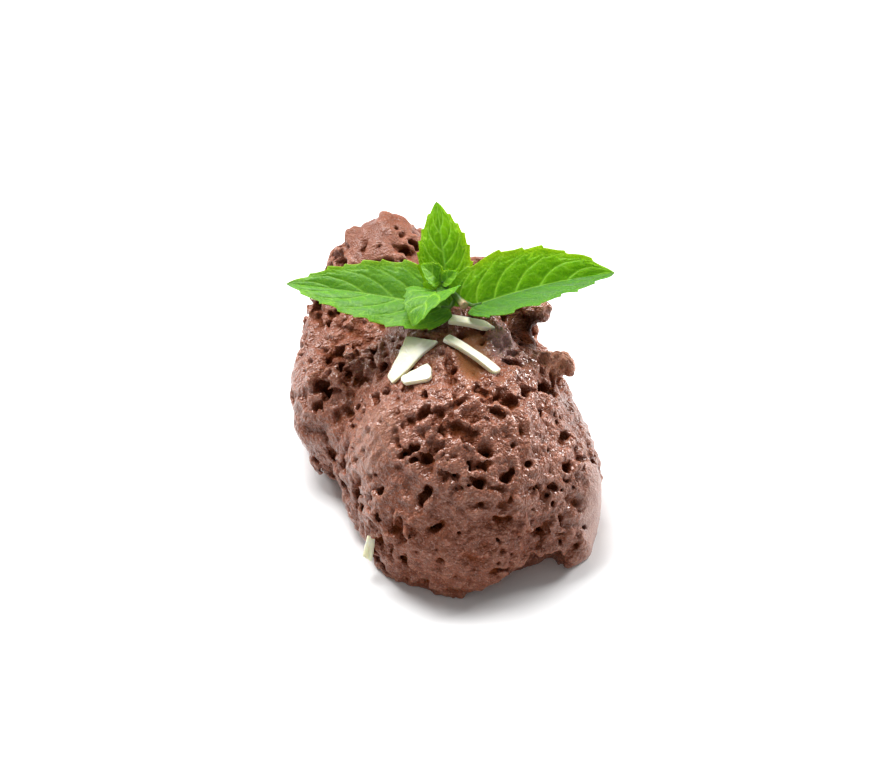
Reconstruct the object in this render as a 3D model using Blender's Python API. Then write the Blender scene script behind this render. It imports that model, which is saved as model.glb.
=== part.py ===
"""Chocolate mousse: a rough mound of airy mousse with a sprig of mint and shavings of white chocolate.

Run with: blender --background --python part.py

Metres, +Z up. The mound rests on z = 0 with its long side along Y, from the front foot (-Y) to the back
shoulder (+Y). The origin is on the flat underside, below the crown that carries the sprig. The tables
below are in millimetres, and mesh_object() brings every finished shape to metres.
"""

import math

import bmesh
import bpy
import numpy as np
from mathutils import Matrix

MM = 0.001
GAP = 0.35  # between pieces that touch

# ---------------------------------------------------------------- driving dimensions, in millimetres

CORE = np.array((-2.0, 6.0, 14.0))  # a middle from which the ball is blown out to the mound's skin
STRETCH = np.array((38.0, 49.0, 32.0))
REACH = 80.0  # further than any part of the skin
SKIN_TRIANGLES = 5  # how many times the ball that becomes the mound is subdivided
RELAX_ROUNDS = 8

# Spoonfuls that run together into the mound: centre, radii and how widely each blends with those above it.
LOBES = (
    ("front", (3.0, -8.0, 13.0), (29.0, 30.0, 30.0), 0.0),
    ("crown", (3.0, 10.0, 20.0), (25.0, 24.0, 26.0), 8.0),
    ("right", (14.0, -12.0, 10.0), (18.0, 20.0, 24.0), 6.0),
    ("right_foot", (24.0, -15.0, 6.0), (13.5, 14.0, 18.5), 5.0),
    ("foot", (1.0, -24.0, 6.0), (17.0, 14.0, 17.0), 8.0),
    ("front_left", (-14.0, -5.0, 10.0), (16.0, 14.0, 20.0), 5.0),
    ("left", (-21.5, 13.0, 13.0), (18.0, 20.0, 20.0), 5.0),
    ("left_back", (-19.5, 31.0, 14.0), (16.3, 22.0, 22.0), 8.0),
    ("back", (-14.0, 40.0, 22.0), (18.0, 20.0, 26.5), 6.0),
    ("back_right", (4.0, 30.0, 20.0), (16.5, 18.0, 22.0), 8.0),
    ("torn_lump", (20.0, 15.5, 39.5), (6.0, 5.0, 3.8), 4.0),
    ("torn_shoulder", (24.0, 6.0, 30.0), (6.0, 6.5, 5.5), 4.0),
    ("right_side", (24.5, -4.0, 14.5), (10.0, 12.0, 13.0), 5.0),
    ("lip", (15.0, -26.5, 6.0), (11.0, 7.0, 5.0), 4.0),
    ("knob", (28.5, -25.5, 3.5), (6.0, 6.5, 5.5), 4.0),
)
# What is missing between them: under the torn lump, and under the front lip where it lifts off.
SCOOPED_OUT = (
    ("under_torn_lump", (30.0, 14.0, 33.6), (12.0, 6.5, 4.6), 1.5),
    ("under_lip", (16.0, -35.5, 0.0), (7.0, 5.0, 3.0), 1.5),
    ("arch", (23.6, -34.5, 0.0), (2.8, 8.5, 4.5), 2.0),
)

# Soft swellings of the skin: how many waves, their height, and the longest and shortest wavelength.
SWELL_SEED = 11
SWELL_WAVES = 26
SWELL_HEIGHT = 0.35
SWELL_LONGEST = 26.0
SWELL_SHORTEST = 9.0
CALM_CENTRE = np.array((2.0, 4.0))  # the garnished crown, where the skin is smoother
CALM_RADIUS = 13.0

# The largest burst bubbles: where each opens in plan, its radius, and its depth below the skin in radii.
HOLLOWS = (
    (-30.5, 2.4, 2.6, 0.3),
    (-27.5, 7.9, 2.0, 0.3),
    (-18.0, 8.0, 1.9, 0.3),
    (-17.3, -1.6, 1.8, 0.3),
    (-8.1, -18.6, 2.1, 0.2),
    (-3.6, -20.1, 1.8, 0.2),
    (9.6, -15.4, 2.3, 0.3),
    (22.4, -5.8, 3.0, 0.4),
    (16.9, -9.8, 1.9, 0.2),
    (12.1, -19.0, 1.9, 0.3),
    (7.1, -31.0, 2.3, 0.3),
    (15.4, -28.4, 2.4, 0.3),
    (-5.1, -32.0, 2.2, 0.4),
    (-16.3, -27.0, 2.2, 0.4),
    (-8.9, -26.9, 2.0, 0.2),
    (-11.0, 34.6, 2.6, 0.4),
    (-28.0, 34.0, 2.4, 0.3),
    (14.0, 36.0, 2.6, 0.3),
    (-6.0, 50.0, 2.6, 0.3),
    (25.0, 10.0, 2.2, 0.3),
)

# Mint leaves: where the blade starts, how long and wide it is, where it points (from +X towards +Y, and
# up), how far it bends down by its tip, how it leans, how far its two halves fold up, and its outline.
LEAF_THICKNESS = 0.5
PETIOLE_HALF_WIDTH = 0.5
TIP_HALF_WIDTH = 0.15
LEAVES = {
    "leaf_right": dict(
        base=(5.6, 8.9, 47.6), length=34.4, width=21.5, heading=8, pitch=12, bend=2, lean=8,
        fold_left=42, fold_right=24, shoulder=0.60, taper=1.0, teeth=9, stations=28,
    ),
    "leaf_left": dict(
        base=(-0.4, 9.2, 47.3), length=38.3, width=18.5, heading=170, pitch=5, bend=4, lean=-10,
        fold_left=12, fold_right=24, shoulder=0.50, taper=1.0, teeth=9, stations=28,
    ),
    "leaf_back": dict(
        base=(-0.3, 14.0, 50.7), length=19.9, width=13.8, heading=103, pitch=62, bend=10, lean=0,
        fold_left=12, fold_right=12, shoulder=0.62, taper=1.0, teeth=8, stations=25,
    ),
    "leaf_front": dict(
        base=(-1.8, 10.0, 51.3), length=13.6, width=14.0, heading=228, pitch=32, bend=88, lean=0,
        fold_left=14, fold_right=14, shoulder=0.45, taper=0.9, teeth=6, stations=19,
    ),
    "leaf_bud_left": dict(
        base=(-1.9, 12.3, 52.1), length=6.8, width=4.6, heading=180, pitch=60, bend=20, lean=-35,
        fold_left=25, fold_right=30, shoulder=0.55, taper=0.85, teeth=3, stations=10,
    ),
    "leaf_bud_right": dict(
        base=(0.3, 12.2, 52.1), length=5.8, width=3.8, heading=0, pitch=64, bend=10, lean=35,
        fold_left=25, fold_right=30, shoulder=0.55, taper=0.85, teeth=3, stations=10,
    ),
}
TOOTH_DEPTH = 0.09  # of the half width

# The sprig's stem, from its cut end up to the bud, and the short stalk to each leaf.
STEM_PATH = ((4.3, 10.6, 47.2), (2.4, 11.6, 48.2), (0.6, 12.2, 49.6), (-0.9, 12.6, 51.6))
STEM_RADII = (1.0, 1.05, 0.85, 0.6)
STALKS = {
    "leaf_right": ((2.9, 11.3, 47.9), 0.6),
    "leaf_left": ((2.0, 11.7, 48.4), 0.6),
    "leaf_back": ((0.3, 12.3, 50.0), 0.5),
    "leaf_front": ((0.2, 12.3, 50.1), 0.5),
}
STEM_SIDES = 8

# Shavings: middle in plan, the way the outline's +x points, its corners, thickness, curl (how far the
# ends lift, or droop if negative), lean about its length, and how deep it is pressed into the mousse.
SHAVINGS = {
    "shaving_long": dict(
        at=(5.4, -4.0), heading=-36, outline=((-7.4, -1.1), (7.2, -1.2), (7.5, 0.9), (-7.2, 1.0)),
        thickness=1.2, curl=-0.7, lean=-8, depth=0.3,
    ),
    "shaving_top": dict(
        at=(5.6, 5.2), heading=-9, outline=((-5.6, -1.2), (2.4, -1.3), (5.7, -0.3), (3.0, 1.2), (-5.4, 1.2)),
        thickness=1.2, curl=-0.4, lean=-6, depth=0.3,
    ),
    "shaving_left": dict(
        at=(-7.3, -1.2), heading=48,
        outline=((-7.0, -1.2), (-2.2, -1.9), (2.6, -1.7), (7.2, -3.4), (4.2, 4.0), (-0.8, 2.1), (-6.2, 1.1)),
        thickness=0.9, curl=-0.3, lean=6, depth=0.3,
    ),
    "shaving_small": dict(
        at=(-6.9, -8.6), heading=10,
        outline=((-4.0, -1.3), (-0.2, -2.7), (3.1, -2.7), (3.9, -1.6), (3.0, 2.9), (-3.4, 0.6)),
        thickness=1.0, curl=0.0, lean=0, depth=0.3,
    ),
}
FLAKE_BENDS = (-0.6, -0.3, 0.0, 0.3, 0.6)  # where a flake bends, as shares of its half length
CHIP = dict(outline=((-3.0, -1.0), (2.6, -1.3), (3.2, 0.6), (-1.8, 1.4)), thickness=0.9)
CHIP_CENTRE = (-19.6, -29.2, 9.6)
CHIP_TURN = (0.0, -62.0, -48.0)  # about X, Y and Z, standing against the foot of the mound

# ---------------------------------------------------------------- the mound's form


def ellipsoid(points, centre, radii):
    """Distance from an ellipsoid's skin, near enough: below zero inside it."""
    away = points - np.array(centre)
    scaled = np.linalg.norm(away / np.array(radii), axis=-1)
    slope = np.linalg.norm(away / np.array(radii) ** 2, axis=-1)
    return scaled * (scaled - 1.0) / np.maximum(slope, 1e-9)


def join(a, b, blend):
    """The lower of two distances, with the crease between them filled over the width of the blend."""
    share = np.clip(0.5 + 0.5 * (b - a) / blend, 0.0, 1.0)
    return b * (1.0 - share) + a * share - blend * share * (1.0 - share)


def swell(points):
    """Height of the soft swellings: a sum of plane waves whose directions and lengths are drawn once."""
    draw = np.random.default_rng(SWELL_SEED)
    height = np.zeros(points.shape[:-1])
    for _ in range(SWELL_WAVES):
        direction = draw.normal(size=3)
        direction /= np.linalg.norm(direction)
        wavelength = draw.uniform(SWELL_SHORTEST, SWELL_LONGEST)
        phase = draw.uniform(0.0, 2.0 * math.pi)
        height += wavelength * np.sin(points @ direction * 2.0 * math.pi / wavelength + phase)
    height /= SWELL_LONGEST * math.sqrt(SWELL_WAVES / 2.0) / 2.0
    calm = np.linalg.norm(points[..., :2] - CALM_CENTRE, axis=-1) / CALM_RADIUS
    return SWELL_HEIGHT * height * np.clip(calm, 0.25, 1.0)


def mound_field(points):
    """Distance from the mound's skin: the lobes joined one after another, then scooped out and swollen."""
    field = ellipsoid(points, *LOBES[0][1:3])
    for _, centre, radii, blend in LOBES[1:]:
        field = join(field, ellipsoid(points, centre, radii), blend)
    for _, centre, radii, blend in SCOOPED_OUT:
        field = -join(-field, ellipsoid(points, centre, radii), blend)
    return field - swell(points)


def first_skin(origins, directions, reach):
    """How far along each ray the mound's skin lies, by halving. The rays start inside the mound."""
    near = np.zeros(len(origins))
    far = np.full(len(origins), reach)
    for _ in range(26):
        middle = (near + far) / 2.0
        inside = mound_field(origins + directions * middle[:, None]) < 0.0
        near = np.where(inside, middle, near)
        far = np.where(inside, far, middle)
    return near


def skin_slope(points):
    """How the distance grows along X, Y and Z at each point."""
    steps = 0.4 * np.eye(3)
    return np.stack([(mound_field(points + s) - mound_field(points - s)) / 0.8 for s in steps], -1)


def skin_above(x, y):
    """The point of the skin straight above a place in plan, and its outward normal."""
    start = np.array([[x, y, 5.0]])
    height = first_skin(start, np.array([[0.0, 0.0, 1.0]]), REACH)[0]
    point = start + (0.0, 0.0, height)
    slope = skin_slope(point)[0]
    return point[0], slope / np.linalg.norm(slope)


# ---------------------------------------------------------------- making objects


def mesh_object(name, bm, material, scale=MM):
    """An object from a bmesh drawn in millimetres."""
    bmesh.ops.scale(bm, vec=(scale,) * 3, verts=bm.verts)
    bmesh.ops.recalc_face_normals(bm, faces=bm.faces)
    mesh = bpy.data.meshes.new(name)
    bm.to_mesh(mesh)
    bm.free()
    mesh.materials.append(material)
    obj = bpy.data.objects.new(name, mesh)
    bpy.context.scene.collection.objects.link(obj)
    return obj


def hide_helper(obj):
    obj.hide_render = True
    obj.display_type = "WIRE"
    return obj


def boolean(obj, operation, other):
    modifier = obj.modifiers.new(f"{operation.lower()}_{other.name}"[:60], "BOOLEAN")
    modifier.operation = operation
    modifier.object = other
    modifier.solver = "EXACT"


def finish(name, colour, roughness):
    """A material of one colour, given as red, green and blue in linear light."""
    material = bpy.data.materials.new(name)
    material.use_nodes = True
    shader = material.node_tree.nodes["Principled BSDF"]
    shader.inputs["Base Color"].default_value = (*colour, 1.0)
    shader.inputs["Roughness"].default_value = roughness
    shader.inputs["Metallic"].default_value = 0.0
    return material


# ---------------------------------------------------------------- the mousse


def relax(skin, ends):
    """Even out the triangles: move each corner to the middle of its neighbours, then back onto the skin."""
    neighbours = np.bincount(ends.ravel(), minlength=len(skin))[:, None]
    for _ in range(RELAX_ROUNDS):
        total = np.zeros_like(skin)
        np.add.at(total, ends[:, 0], skin[ends[:, 1]])
        np.add.at(total, ends[:, 1], skin[ends[:, 0]])
        skin = (skin + total / neighbours) / 2.0
        slope = skin_slope(skin)
        skin = skin - slope * (mound_field(skin) / (slope**2).sum(axis=1))[:, None]
    return skin


def make_mound(material):
    """The mound: a ball of triangles blown out from the core to the skin, then cut flat at the table."""
    bm = bmesh.new()
    bmesh.ops.create_icosphere(bm, subdivisions=SKIN_TRIANGLES, radius=1.0)
    directions = np.array([v.co for v in bm.verts]) * STRETCH
    directions /= np.linalg.norm(directions, axis=1, keepdims=True)
    origins = np.tile(CORE, (len(directions), 1))
    skin = origins + directions * first_skin(origins, directions, REACH)[:, None]
    ends = np.array([[v.index for v in e.verts] for e in bm.edges])
    skin = relax(skin, ends)
    for vert, place in zip(bm.verts, skin):
        vert.co = place
    whole = bm.verts[:] + bm.edges[:] + bm.faces[:]
    cut = bmesh.ops.bisect_plane(bm, geom=whole, plane_co=(0, 0, 0), plane_no=(0, 0, 1), clear_inner=True)
    rim = [e for e in cut["geom_cut"] if isinstance(e, bmesh.types.BMEdge)]
    bmesh.ops.contextual_create(bm, geom=rim)
    return mesh_object("mousse", bm, material)


def cut_hollows(mousse, material):
    """Each large burst bubble is a ball taken out of the skin, with its middle a little below it."""
    for number, (x, y, radius, sink) in enumerate(HOLLOWS):
        point, normal = skin_above(x, y)
        bm = bmesh.new()
        bmesh.ops.create_icosphere(bm, subdivisions=2, radius=radius)
        bmesh.ops.translate(bm, vec=point - normal * radius * sink, verts=bm.verts)
        ball = hide_helper(mesh_object(f"hollow_{number}", bm, material))
        boolean(mousse, "DIFFERENCE", ball)


# ---------------------------------------------------------------- the mint sprig


def leaf_profile(share, shoulder, taper):
    """Half width of a leaf along its midrib, 1 at the widest: share^shoulder times (1 - share)^taper."""
    widest = shoulder / (shoulder + taper)
    peak = widest**shoulder * (1.0 - widest) ** taper
    return share**shoulder * (1.0 - share) ** taper / peak


def leaf_grid(leaf, across):
    """Points of a leaf blade, one row for each station along the midrib.

    The midrib leaves its base along heading and pitch and bends down evenly. Each row runs out to both
    sides by the half width, folded up from the midrib, and the margin is a saw whose teeth point at the tip.
    """
    share = np.linspace(0.0, 1.0, leaf["stations"])
    pitch = np.radians(leaf["pitch"] - leaf["bend"] * share)
    heading = math.radians(leaf["heading"])
    level_share = np.cos(pitch)
    along = np.stack([level_share * math.cos(heading), level_share * math.sin(heading), np.sin(pitch)], -1)
    steps = (along[1:] + along[:-1]) / 2.0 * leaf["length"] / (leaf["stations"] - 1)
    midrib = np.array(leaf["base"]) + np.vstack([np.zeros(3), np.cumsum(steps, axis=0)])
    level = np.array((-math.sin(heading), math.cos(heading), 0.0))
    upright = np.cross(along, level)
    lean = math.radians(leaf["lean"])
    side = level * math.cos(lean) + upright * math.sin(lean)
    top = np.cross(along, side)
    half = leaf["width"] / 2.0 * leaf_profile(share, leaf["shoulder"], leaf["taper"])
    saw = (share * leaf["teeth"]) % 1.0 - 0.5
    half = half * (1.0 + TOOTH_DEPTH * saw)
    half = np.maximum(half, np.interp(share, (0.0, 1.0), (PETIOLE_HALF_WIDTH, TIP_HALF_WIDTH)))
    out = np.linspace(-1.0, 1.0, across)
    fold = np.radians(np.where(out > 0.0, leaf["fold_left"], leaf["fold_right"]))
    reach = half[:, None] * out
    flat = side[:, None] * (reach * np.cos(fold))[..., None]
    lift = top[:, None] * (np.abs(reach) * np.sin(fold))[..., None]
    return midrib[:, None] + flat + lift


def make_leaf(name, leaf, material):
    grid = leaf_grid(leaf, across=5)
    rows, columns = grid.shape[:2]
    bm = bmesh.new()
    verts = [bm.verts.new(place) for place in grid.reshape(-1, 3)]
    for row in range(rows - 1):
        for column in range(columns - 1):
            corner = row * columns + column
            ring = (corner, corner + 1, corner + columns + 1, corner + columns)
            bm.faces.new([verts[i] for i in ring])
    obj = mesh_object(name, bm, material)
    solidify = obj.modifiers.new("thickness", "SOLIDIFY")
    solidify.thickness = LEAF_THICKNESS * MM
    solidify.offset = 0.0
    return obj


def tube(name, path, radii, sides, material):
    """A round stalk: one ring of points at each place on the path, square to it, closed at both ends."""
    path = np.array(path)
    ahead = np.gradient(path, axis=0)
    ahead /= np.linalg.norm(ahead, axis=1, keepdims=True)
    bm = bmesh.new()
    rings = []
    for place, direction, radius in zip(path, ahead, radii):
        across = np.cross(direction, (0.0, 0.0, 1.0))
        across /= np.linalg.norm(across)
        over = np.cross(across, direction)
        turns = [2.0 * math.pi * i / sides for i in range(sides)]
        ring = [bm.verts.new(place + radius * (across * math.cos(t) + over * math.sin(t))) for t in turns]
        rings.append(ring)
    for lower, upper in zip(rings, rings[1:]):
        for i in range(sides):
            j = (i + 1) % sides
            bm.faces.new((lower[i], lower[j], upper[j], upper[i]))
    bm.faces.new(rings[0])
    bm.faces.new(rings[-1])
    return mesh_object(name, bm, material)


def make_stem(material, grow=0.0, prefix=""):
    """The stem and, joined to it, a short stalk that stops just short of each leaf's base."""
    radii = [radius + grow for radius in STEM_RADII]
    stem = tube(prefix + "stem", STEM_PATH, radii, STEM_SIDES, material)
    for name, (start, radius) in STALKS.items():
        start = np.array(start)
        away = np.array(LEAVES[name]["base"]) - start
        length = np.linalg.norm(away)
        end = start + away * (length - GAP - LEAF_THICKNESS / 2.0) / length
        stalk = tube(f"{prefix}stalk_{name}", (start, end), (radius + grow, radius * 0.8 + grow), 6, material)
        boolean(stem, "UNION", hide_helper(stalk))
    return stem


# ---------------------------------------------------------------- the white chocolate


def shaving_mesh(outline, thickness, curl, grow=0.0):
    """A flake on z = 0: its outline, thickened upwards, with its ends lifted by the curl."""
    corners = np.array(outline)
    middle = corners.mean(axis=0)
    reach = np.linalg.norm(corners - middle, axis=1, keepdims=True)
    corners = corners + (corners - middle) / reach * grow * math.sqrt(2.0)
    bm = bmesh.new()
    face = bm.faces.new([bm.verts.new((x, y, -grow)) for x, y in corners])
    raised = bmesh.ops.extrude_face_region(bm, geom=[face])
    top = [v for v in raised["geom"] if isinstance(v, bmesh.types.BMVert)]
    bmesh.ops.translate(bm, vec=(0, 0, thickness + 2.0 * grow), verts=top)
    half_length = np.abs(corners[:, 0]).max()
    for share in FLAKE_BENDS:
        everything = bm.verts[:] + bm.edges[:] + bm.faces[:]
        bmesh.ops.bisect_plane(bm, geom=everything, plane_co=(share * half_length, 0, 0), plane_no=(1, 0, 0))
    for vert in bm.verts:
        vert.co.z += curl * (vert.co.x / half_length) ** 2
    return bm


def turn_onto(normal, heading, lean):
    """Rotation that lays +z along the normal, then turns the piece about it to its heading."""
    up = np.array(normal)
    ahead = np.array((math.cos(math.radians(heading)), math.sin(math.radians(heading)), 0.0))
    ahead -= up * (ahead @ up)
    ahead /= np.linalg.norm(ahead)
    left = np.cross(up, ahead)
    return Matrix(np.stack([ahead, left, up], 1)).to_4x4() @ Matrix.Rotation(math.radians(lean), 4, "X")


def lay_shaving(name, flake, material, grow=0.0):
    """A flake resting on the mousse, square to the skin under its middle."""
    bm = shaving_mesh(flake["outline"], flake["thickness"], flake["curl"], grow)
    point, normal = skin_above(*flake["at"])
    turn = turn_onto(normal, flake["heading"], flake["lean"])
    bmesh.ops.transform(bm, matrix=Matrix.Translation(point - normal * flake["depth"]) @ turn, verts=bm.verts)
    return mesh_object(name, bm, material)


def lean_chip(name, material, grow=0.0):
    """The chip that stands against the foot of the mound."""
    bm = shaving_mesh(CHIP["outline"], CHIP["thickness"], 0.0, grow)
    place = Matrix.Translation(CHIP_CENTRE)
    for axis, degrees in zip("ZYX", reversed(CHIP_TURN)):
        place = place @ Matrix.Rotation(math.radians(degrees), 4, axis)
    bmesh.ops.transform(bm, matrix=place, verts=bm.verts)
    return mesh_object(name, bm, material)


# ---------------------------------------------------------------- the whole


def clear_scene():
    for obj in list(bpy.data.objects):
        bpy.data.objects.remove(obj, do_unlink=True)


def main():
    clear_scene()
    chocolate = finish("mousse", (0.205, 0.095, 0.068), 0.45)
    leaf_green = finish("mint_leaf", (0.150, 0.400, 0.030), 0.45)
    stem_green = finish("mint_stem", (0.400, 0.420, 0.160), 0.50)
    cream = finish("white_chocolate", (0.840, 0.780, 0.520), 0.40)

    mousse = make_mound(chocolate)
    cut_hollows(mousse, chocolate)

    for name, leaf in LEAVES.items():
        make_leaf(name, leaf, leaf_green)
    make_stem(stem_green)
    boolean(mousse, "DIFFERENCE", hide_helper(make_stem(stem_green, GAP, "seat_")))

    for name, flake in SHAVINGS.items():
        lay_shaving(name, flake, cream)
        boolean(mousse, "DIFFERENCE", hide_helper(lay_shaving(f"seat_{name}", flake, cream, GAP)))
    lean_chip("shaving_chip", cream)
    boolean(mousse, "DIFFERENCE", hide_helper(lean_chip("seat_chip", cream, GAP)))


main()
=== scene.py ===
"""Chocolate mousse with a sprig of mint and shavings of white chocolate: the looks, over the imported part.

Shapes are worked out in millimetres with numpy and brought to metres in put_into_blender(). +Z is up,
the mound rests on z = 0 and its long side lies along Y.
"""

import math

import bmesh
import bpy
import numpy as np
from mathutils import Matrix


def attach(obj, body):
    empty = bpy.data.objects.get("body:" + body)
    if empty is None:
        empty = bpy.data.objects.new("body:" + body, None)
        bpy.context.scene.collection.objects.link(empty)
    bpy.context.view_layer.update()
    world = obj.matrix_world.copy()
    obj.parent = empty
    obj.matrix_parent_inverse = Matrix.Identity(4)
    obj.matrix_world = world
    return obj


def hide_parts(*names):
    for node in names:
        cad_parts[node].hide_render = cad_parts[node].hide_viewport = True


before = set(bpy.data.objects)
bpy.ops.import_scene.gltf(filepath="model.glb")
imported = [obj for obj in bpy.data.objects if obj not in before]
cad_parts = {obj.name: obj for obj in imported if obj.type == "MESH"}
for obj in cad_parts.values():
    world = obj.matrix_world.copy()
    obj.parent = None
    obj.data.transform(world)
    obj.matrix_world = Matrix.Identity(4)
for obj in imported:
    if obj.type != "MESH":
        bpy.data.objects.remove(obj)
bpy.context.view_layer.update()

MM = 0.001
BODY = "root"

# ---------------------------------------------------------------- the mound: its form, in millimetres

VOXEL = 0.38
LOW = np.array((-43.0, -44.0, -1.7))
HIGH = np.array((41.5, 64.5, 52.5))
AXES = [np.arange(LOW[k], HIGH[k], VOXEL) for k in range(3)]
COARSE = 1.3  # spacing at which the broad form is worked out before it is spread over the fine grid
MOUSSE_TRIANGLES = 194000
THREAD_PASSES = 8  # how much a copy of the field is softened to find threads of mousse too thin to hold
THREAD_LEVEL = 0.50
HOLLOW_PASSES = 14  # how much the field is softened to tell hollows from knobs

# Spoonfuls that run together into the mound: centre, radii and how widely each blends with those above it.
LOBES = (
    ((3.6, -8.0, 13.0), (28.2, 30.0, 30.0), 0.0),
    ((3.0, 10.0, 20.0), (25.0, 24.0, 26.0), 8.0),
    ((14.0, -12.0, 10.0), (18.0, 20.0, 24.0), 6.0),
    ((24.0, -15.0, 6.0), (12.6, 14.0, 18.0), 5.0),
    ((1.0, -24.0, 6.0), (17.0, 14.0, 17.0), 8.0),
    ((-13.6, -5.0, 10.0), (12.8, 14.0, 20.0), 4.0),
    ((-21.0, 13.5, 13.0), (17.3, 18.8, 20.0), 4.5),
    ((-19.5, 31.0, 14.0), (16.3, 22.0, 22.0), 8.0),
    ((-14.0, 40.0, 22.0), (18.0, 20.0, 26.5), 6.0),
    ((4.0, 30.0, 20.0), (16.5, 18.0, 22.0), 8.0),
    ((18.6, 15.5, 40.8), (5.8, 5.0, 3.6), 4.0),
    ((24.0, 6.0, 30.0), (6.0, 6.5, 5.5), 4.0),
    ((24.5, -4.0, 14.5), (10.0, 12.0, 13.0), 5.0),
    ((15.0, -26.5, 6.0), (11.0, 7.0, 5.0), 4.0),
    ((28.5, -25.5, 3.5), (6.0, 6.5, 5.5), 4.0),
)
SCOOPED_OUT = (
    ((29.6, 17.0, 31.5), (12.5, 14.5, 7.5), 1.5),
    ((16.0, -35.5, 0.0), (7.0, 5.0, 3.0), 1.5),
    ((23.6, -34.5, 0.0), (2.8, 8.5, 4.5), 2.0),
)
# Thinner forms, as bars along a path: its places, radius at the two ends, blend. The first are raised: the
# walls of the spoon's trough, the torn crest, the ledges of the left lobe, the lip. The others are cut in.
RIDGES = (
    (((0.2, -1.0, 43.6), (1.2, -6.8, 43.0), (0.5, -11.6, 42.0)), 1.5, 1.1, 1.2),
    (((10.0, 7.5, 44.2), (12.9, 3.6, 43.0), (14.2, 0.0, 41.8), (16.0, -4.0, 39.4)), 2.0, 1.7, 1.0),
    (((19.0, -3.0, 38.9), (20.2, -9.0, 36.4), (23.0, -11.6, 33.2)), 1.5, 0.9, 1.2),
    (((20.5, 0.5, 38.4), (23.8, 2.6, 37.6), (26.4, 4.6, 36.6), (28.2, 3.6, 33.0)), 2.3, 3.1, 1.8),
    (((-33.4, 2.2, 19.2), (-29.6, 0.6, 22.2), (-25.0, -1.8, 25.8)), 1.9, 1.3, 0.7),
    (((-33.6, 5.0, 22.6), (-30.4, 3.6, 24.8), (-27.2, 2.4, 26.6)), 1.7, 1.2, 0.7),
    (((-32.4, 6.6, 27.4), (-29.6, 7.0, 29.6), (-26.6, 3.6, 29.4)), 1.7, 1.2, 1.0),
    (((16.2, -34.4, 18.0), (24.4, -29.7, 13.5), (30.6, -28.6, 7.6)), 1.5, 1.5, 1.5),
    (((-1.8, -32.3, 29.1), (1.6, -33.7, 28.0), (5.4, -33.6, 28.5)), 0.9, 0.8, 0.8),
    (((-31.0, 22.0, 20.0), (-32.5, 30.0, 24.0), (-29.4, 38.0, 30.0), (-26.0, 43.0, 37.0)), 5.4, 4.4, 4.0),
    (((-22.5, 42.0, 43.0), (-24.0, 44.0, 44.0)), 3.6, 3.2, 2.0),
    (((-15.8, 45.0, 44.6), (-13.8, 45.5, 45.4), (-11.2, 46.0, 42.6)), 3.8, 3.4, 2.0),
    (((15.5, 15.5, 41.0), (23.2, 15.5, 41.8)), 3.2, 2.3, 2.0),
    (((6.4, 29.5, 44.8), (8.8, 29.5, 44.8)), 3.2, 3.0, 2.0),
    (((-30.4, -1.0, 7.4), (-30.2, 5.0, 9.5)), 2.9, 2.9, 3.0),
    (((-22.2, -13.5, 7.0), (-19.9, -18.5, 6.0)), 3.1, 3.0, 3.0),
)
FURROWS = (
    (((4.4, 4.0, 48.2), (6.2, -2.0, 46.9), (7.2, -9.5, 45.4)), 4.6, 4.0, 0.8),
    (((15.0, 12.5, 43.4), (17.0, 6.0, 42.4), (18.4, 1.6, 42.0), (20.6, -0.6, 41.0)), 2.9, 2.2, 0.8),
    (((-35.0, -0.6, 16.0), (-29.0, -3.4, 20.2)), 2.2, 1.6, 0.8),
    (((-27.5, -12.0, 15.5), (-22.0, -9.0, 27.0)), 2.0, 1.2, 1.5),
    (((-36.0, 3.2, 21.2), (-31.0, 1.0, 24.4), (-27.0, -0.4, 27.0)), 1.2, 0.9, 0.4),
    (((22.6, 4.2, 43.2), (24.4, 9.0, 39.6), (26.8, 12.8, 35.5), (29.0, 18.0, 31.5)), 2.9, 3.9, 0.8),
    (((5.0, -40.5, -1.5), (11.0, -36.8, -0.5), (17.0, -34.2, 1.0), (23.0, -31.8, 2.6)), 3.6, 4.6, 0.8),
    (((-19.6, 43.0, 49.6), (-19.6, 50.0, 47.6)), 2.4, 2.4, 1.0),
    (((38.6, -13.5, 20.0), (39.6, -14.0, 12.5)), 3.6, 3.6, 1.5),
    (((-40.6, 29.0, 28.5), (-39.0, 37.0, 31.0)), 5.0, 5.0, 1.0),
)

SWELL_SEED = 11
SWELL_WAVES = 26
SWELL_HEIGHT = 0.35
SWELL_LONGEST = 26.0
SWELL_SHORTEST = 9.0
CALM_CENTRE = np.array((2.0, 4.0))
CALM_RADIUS = 13.0

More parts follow.
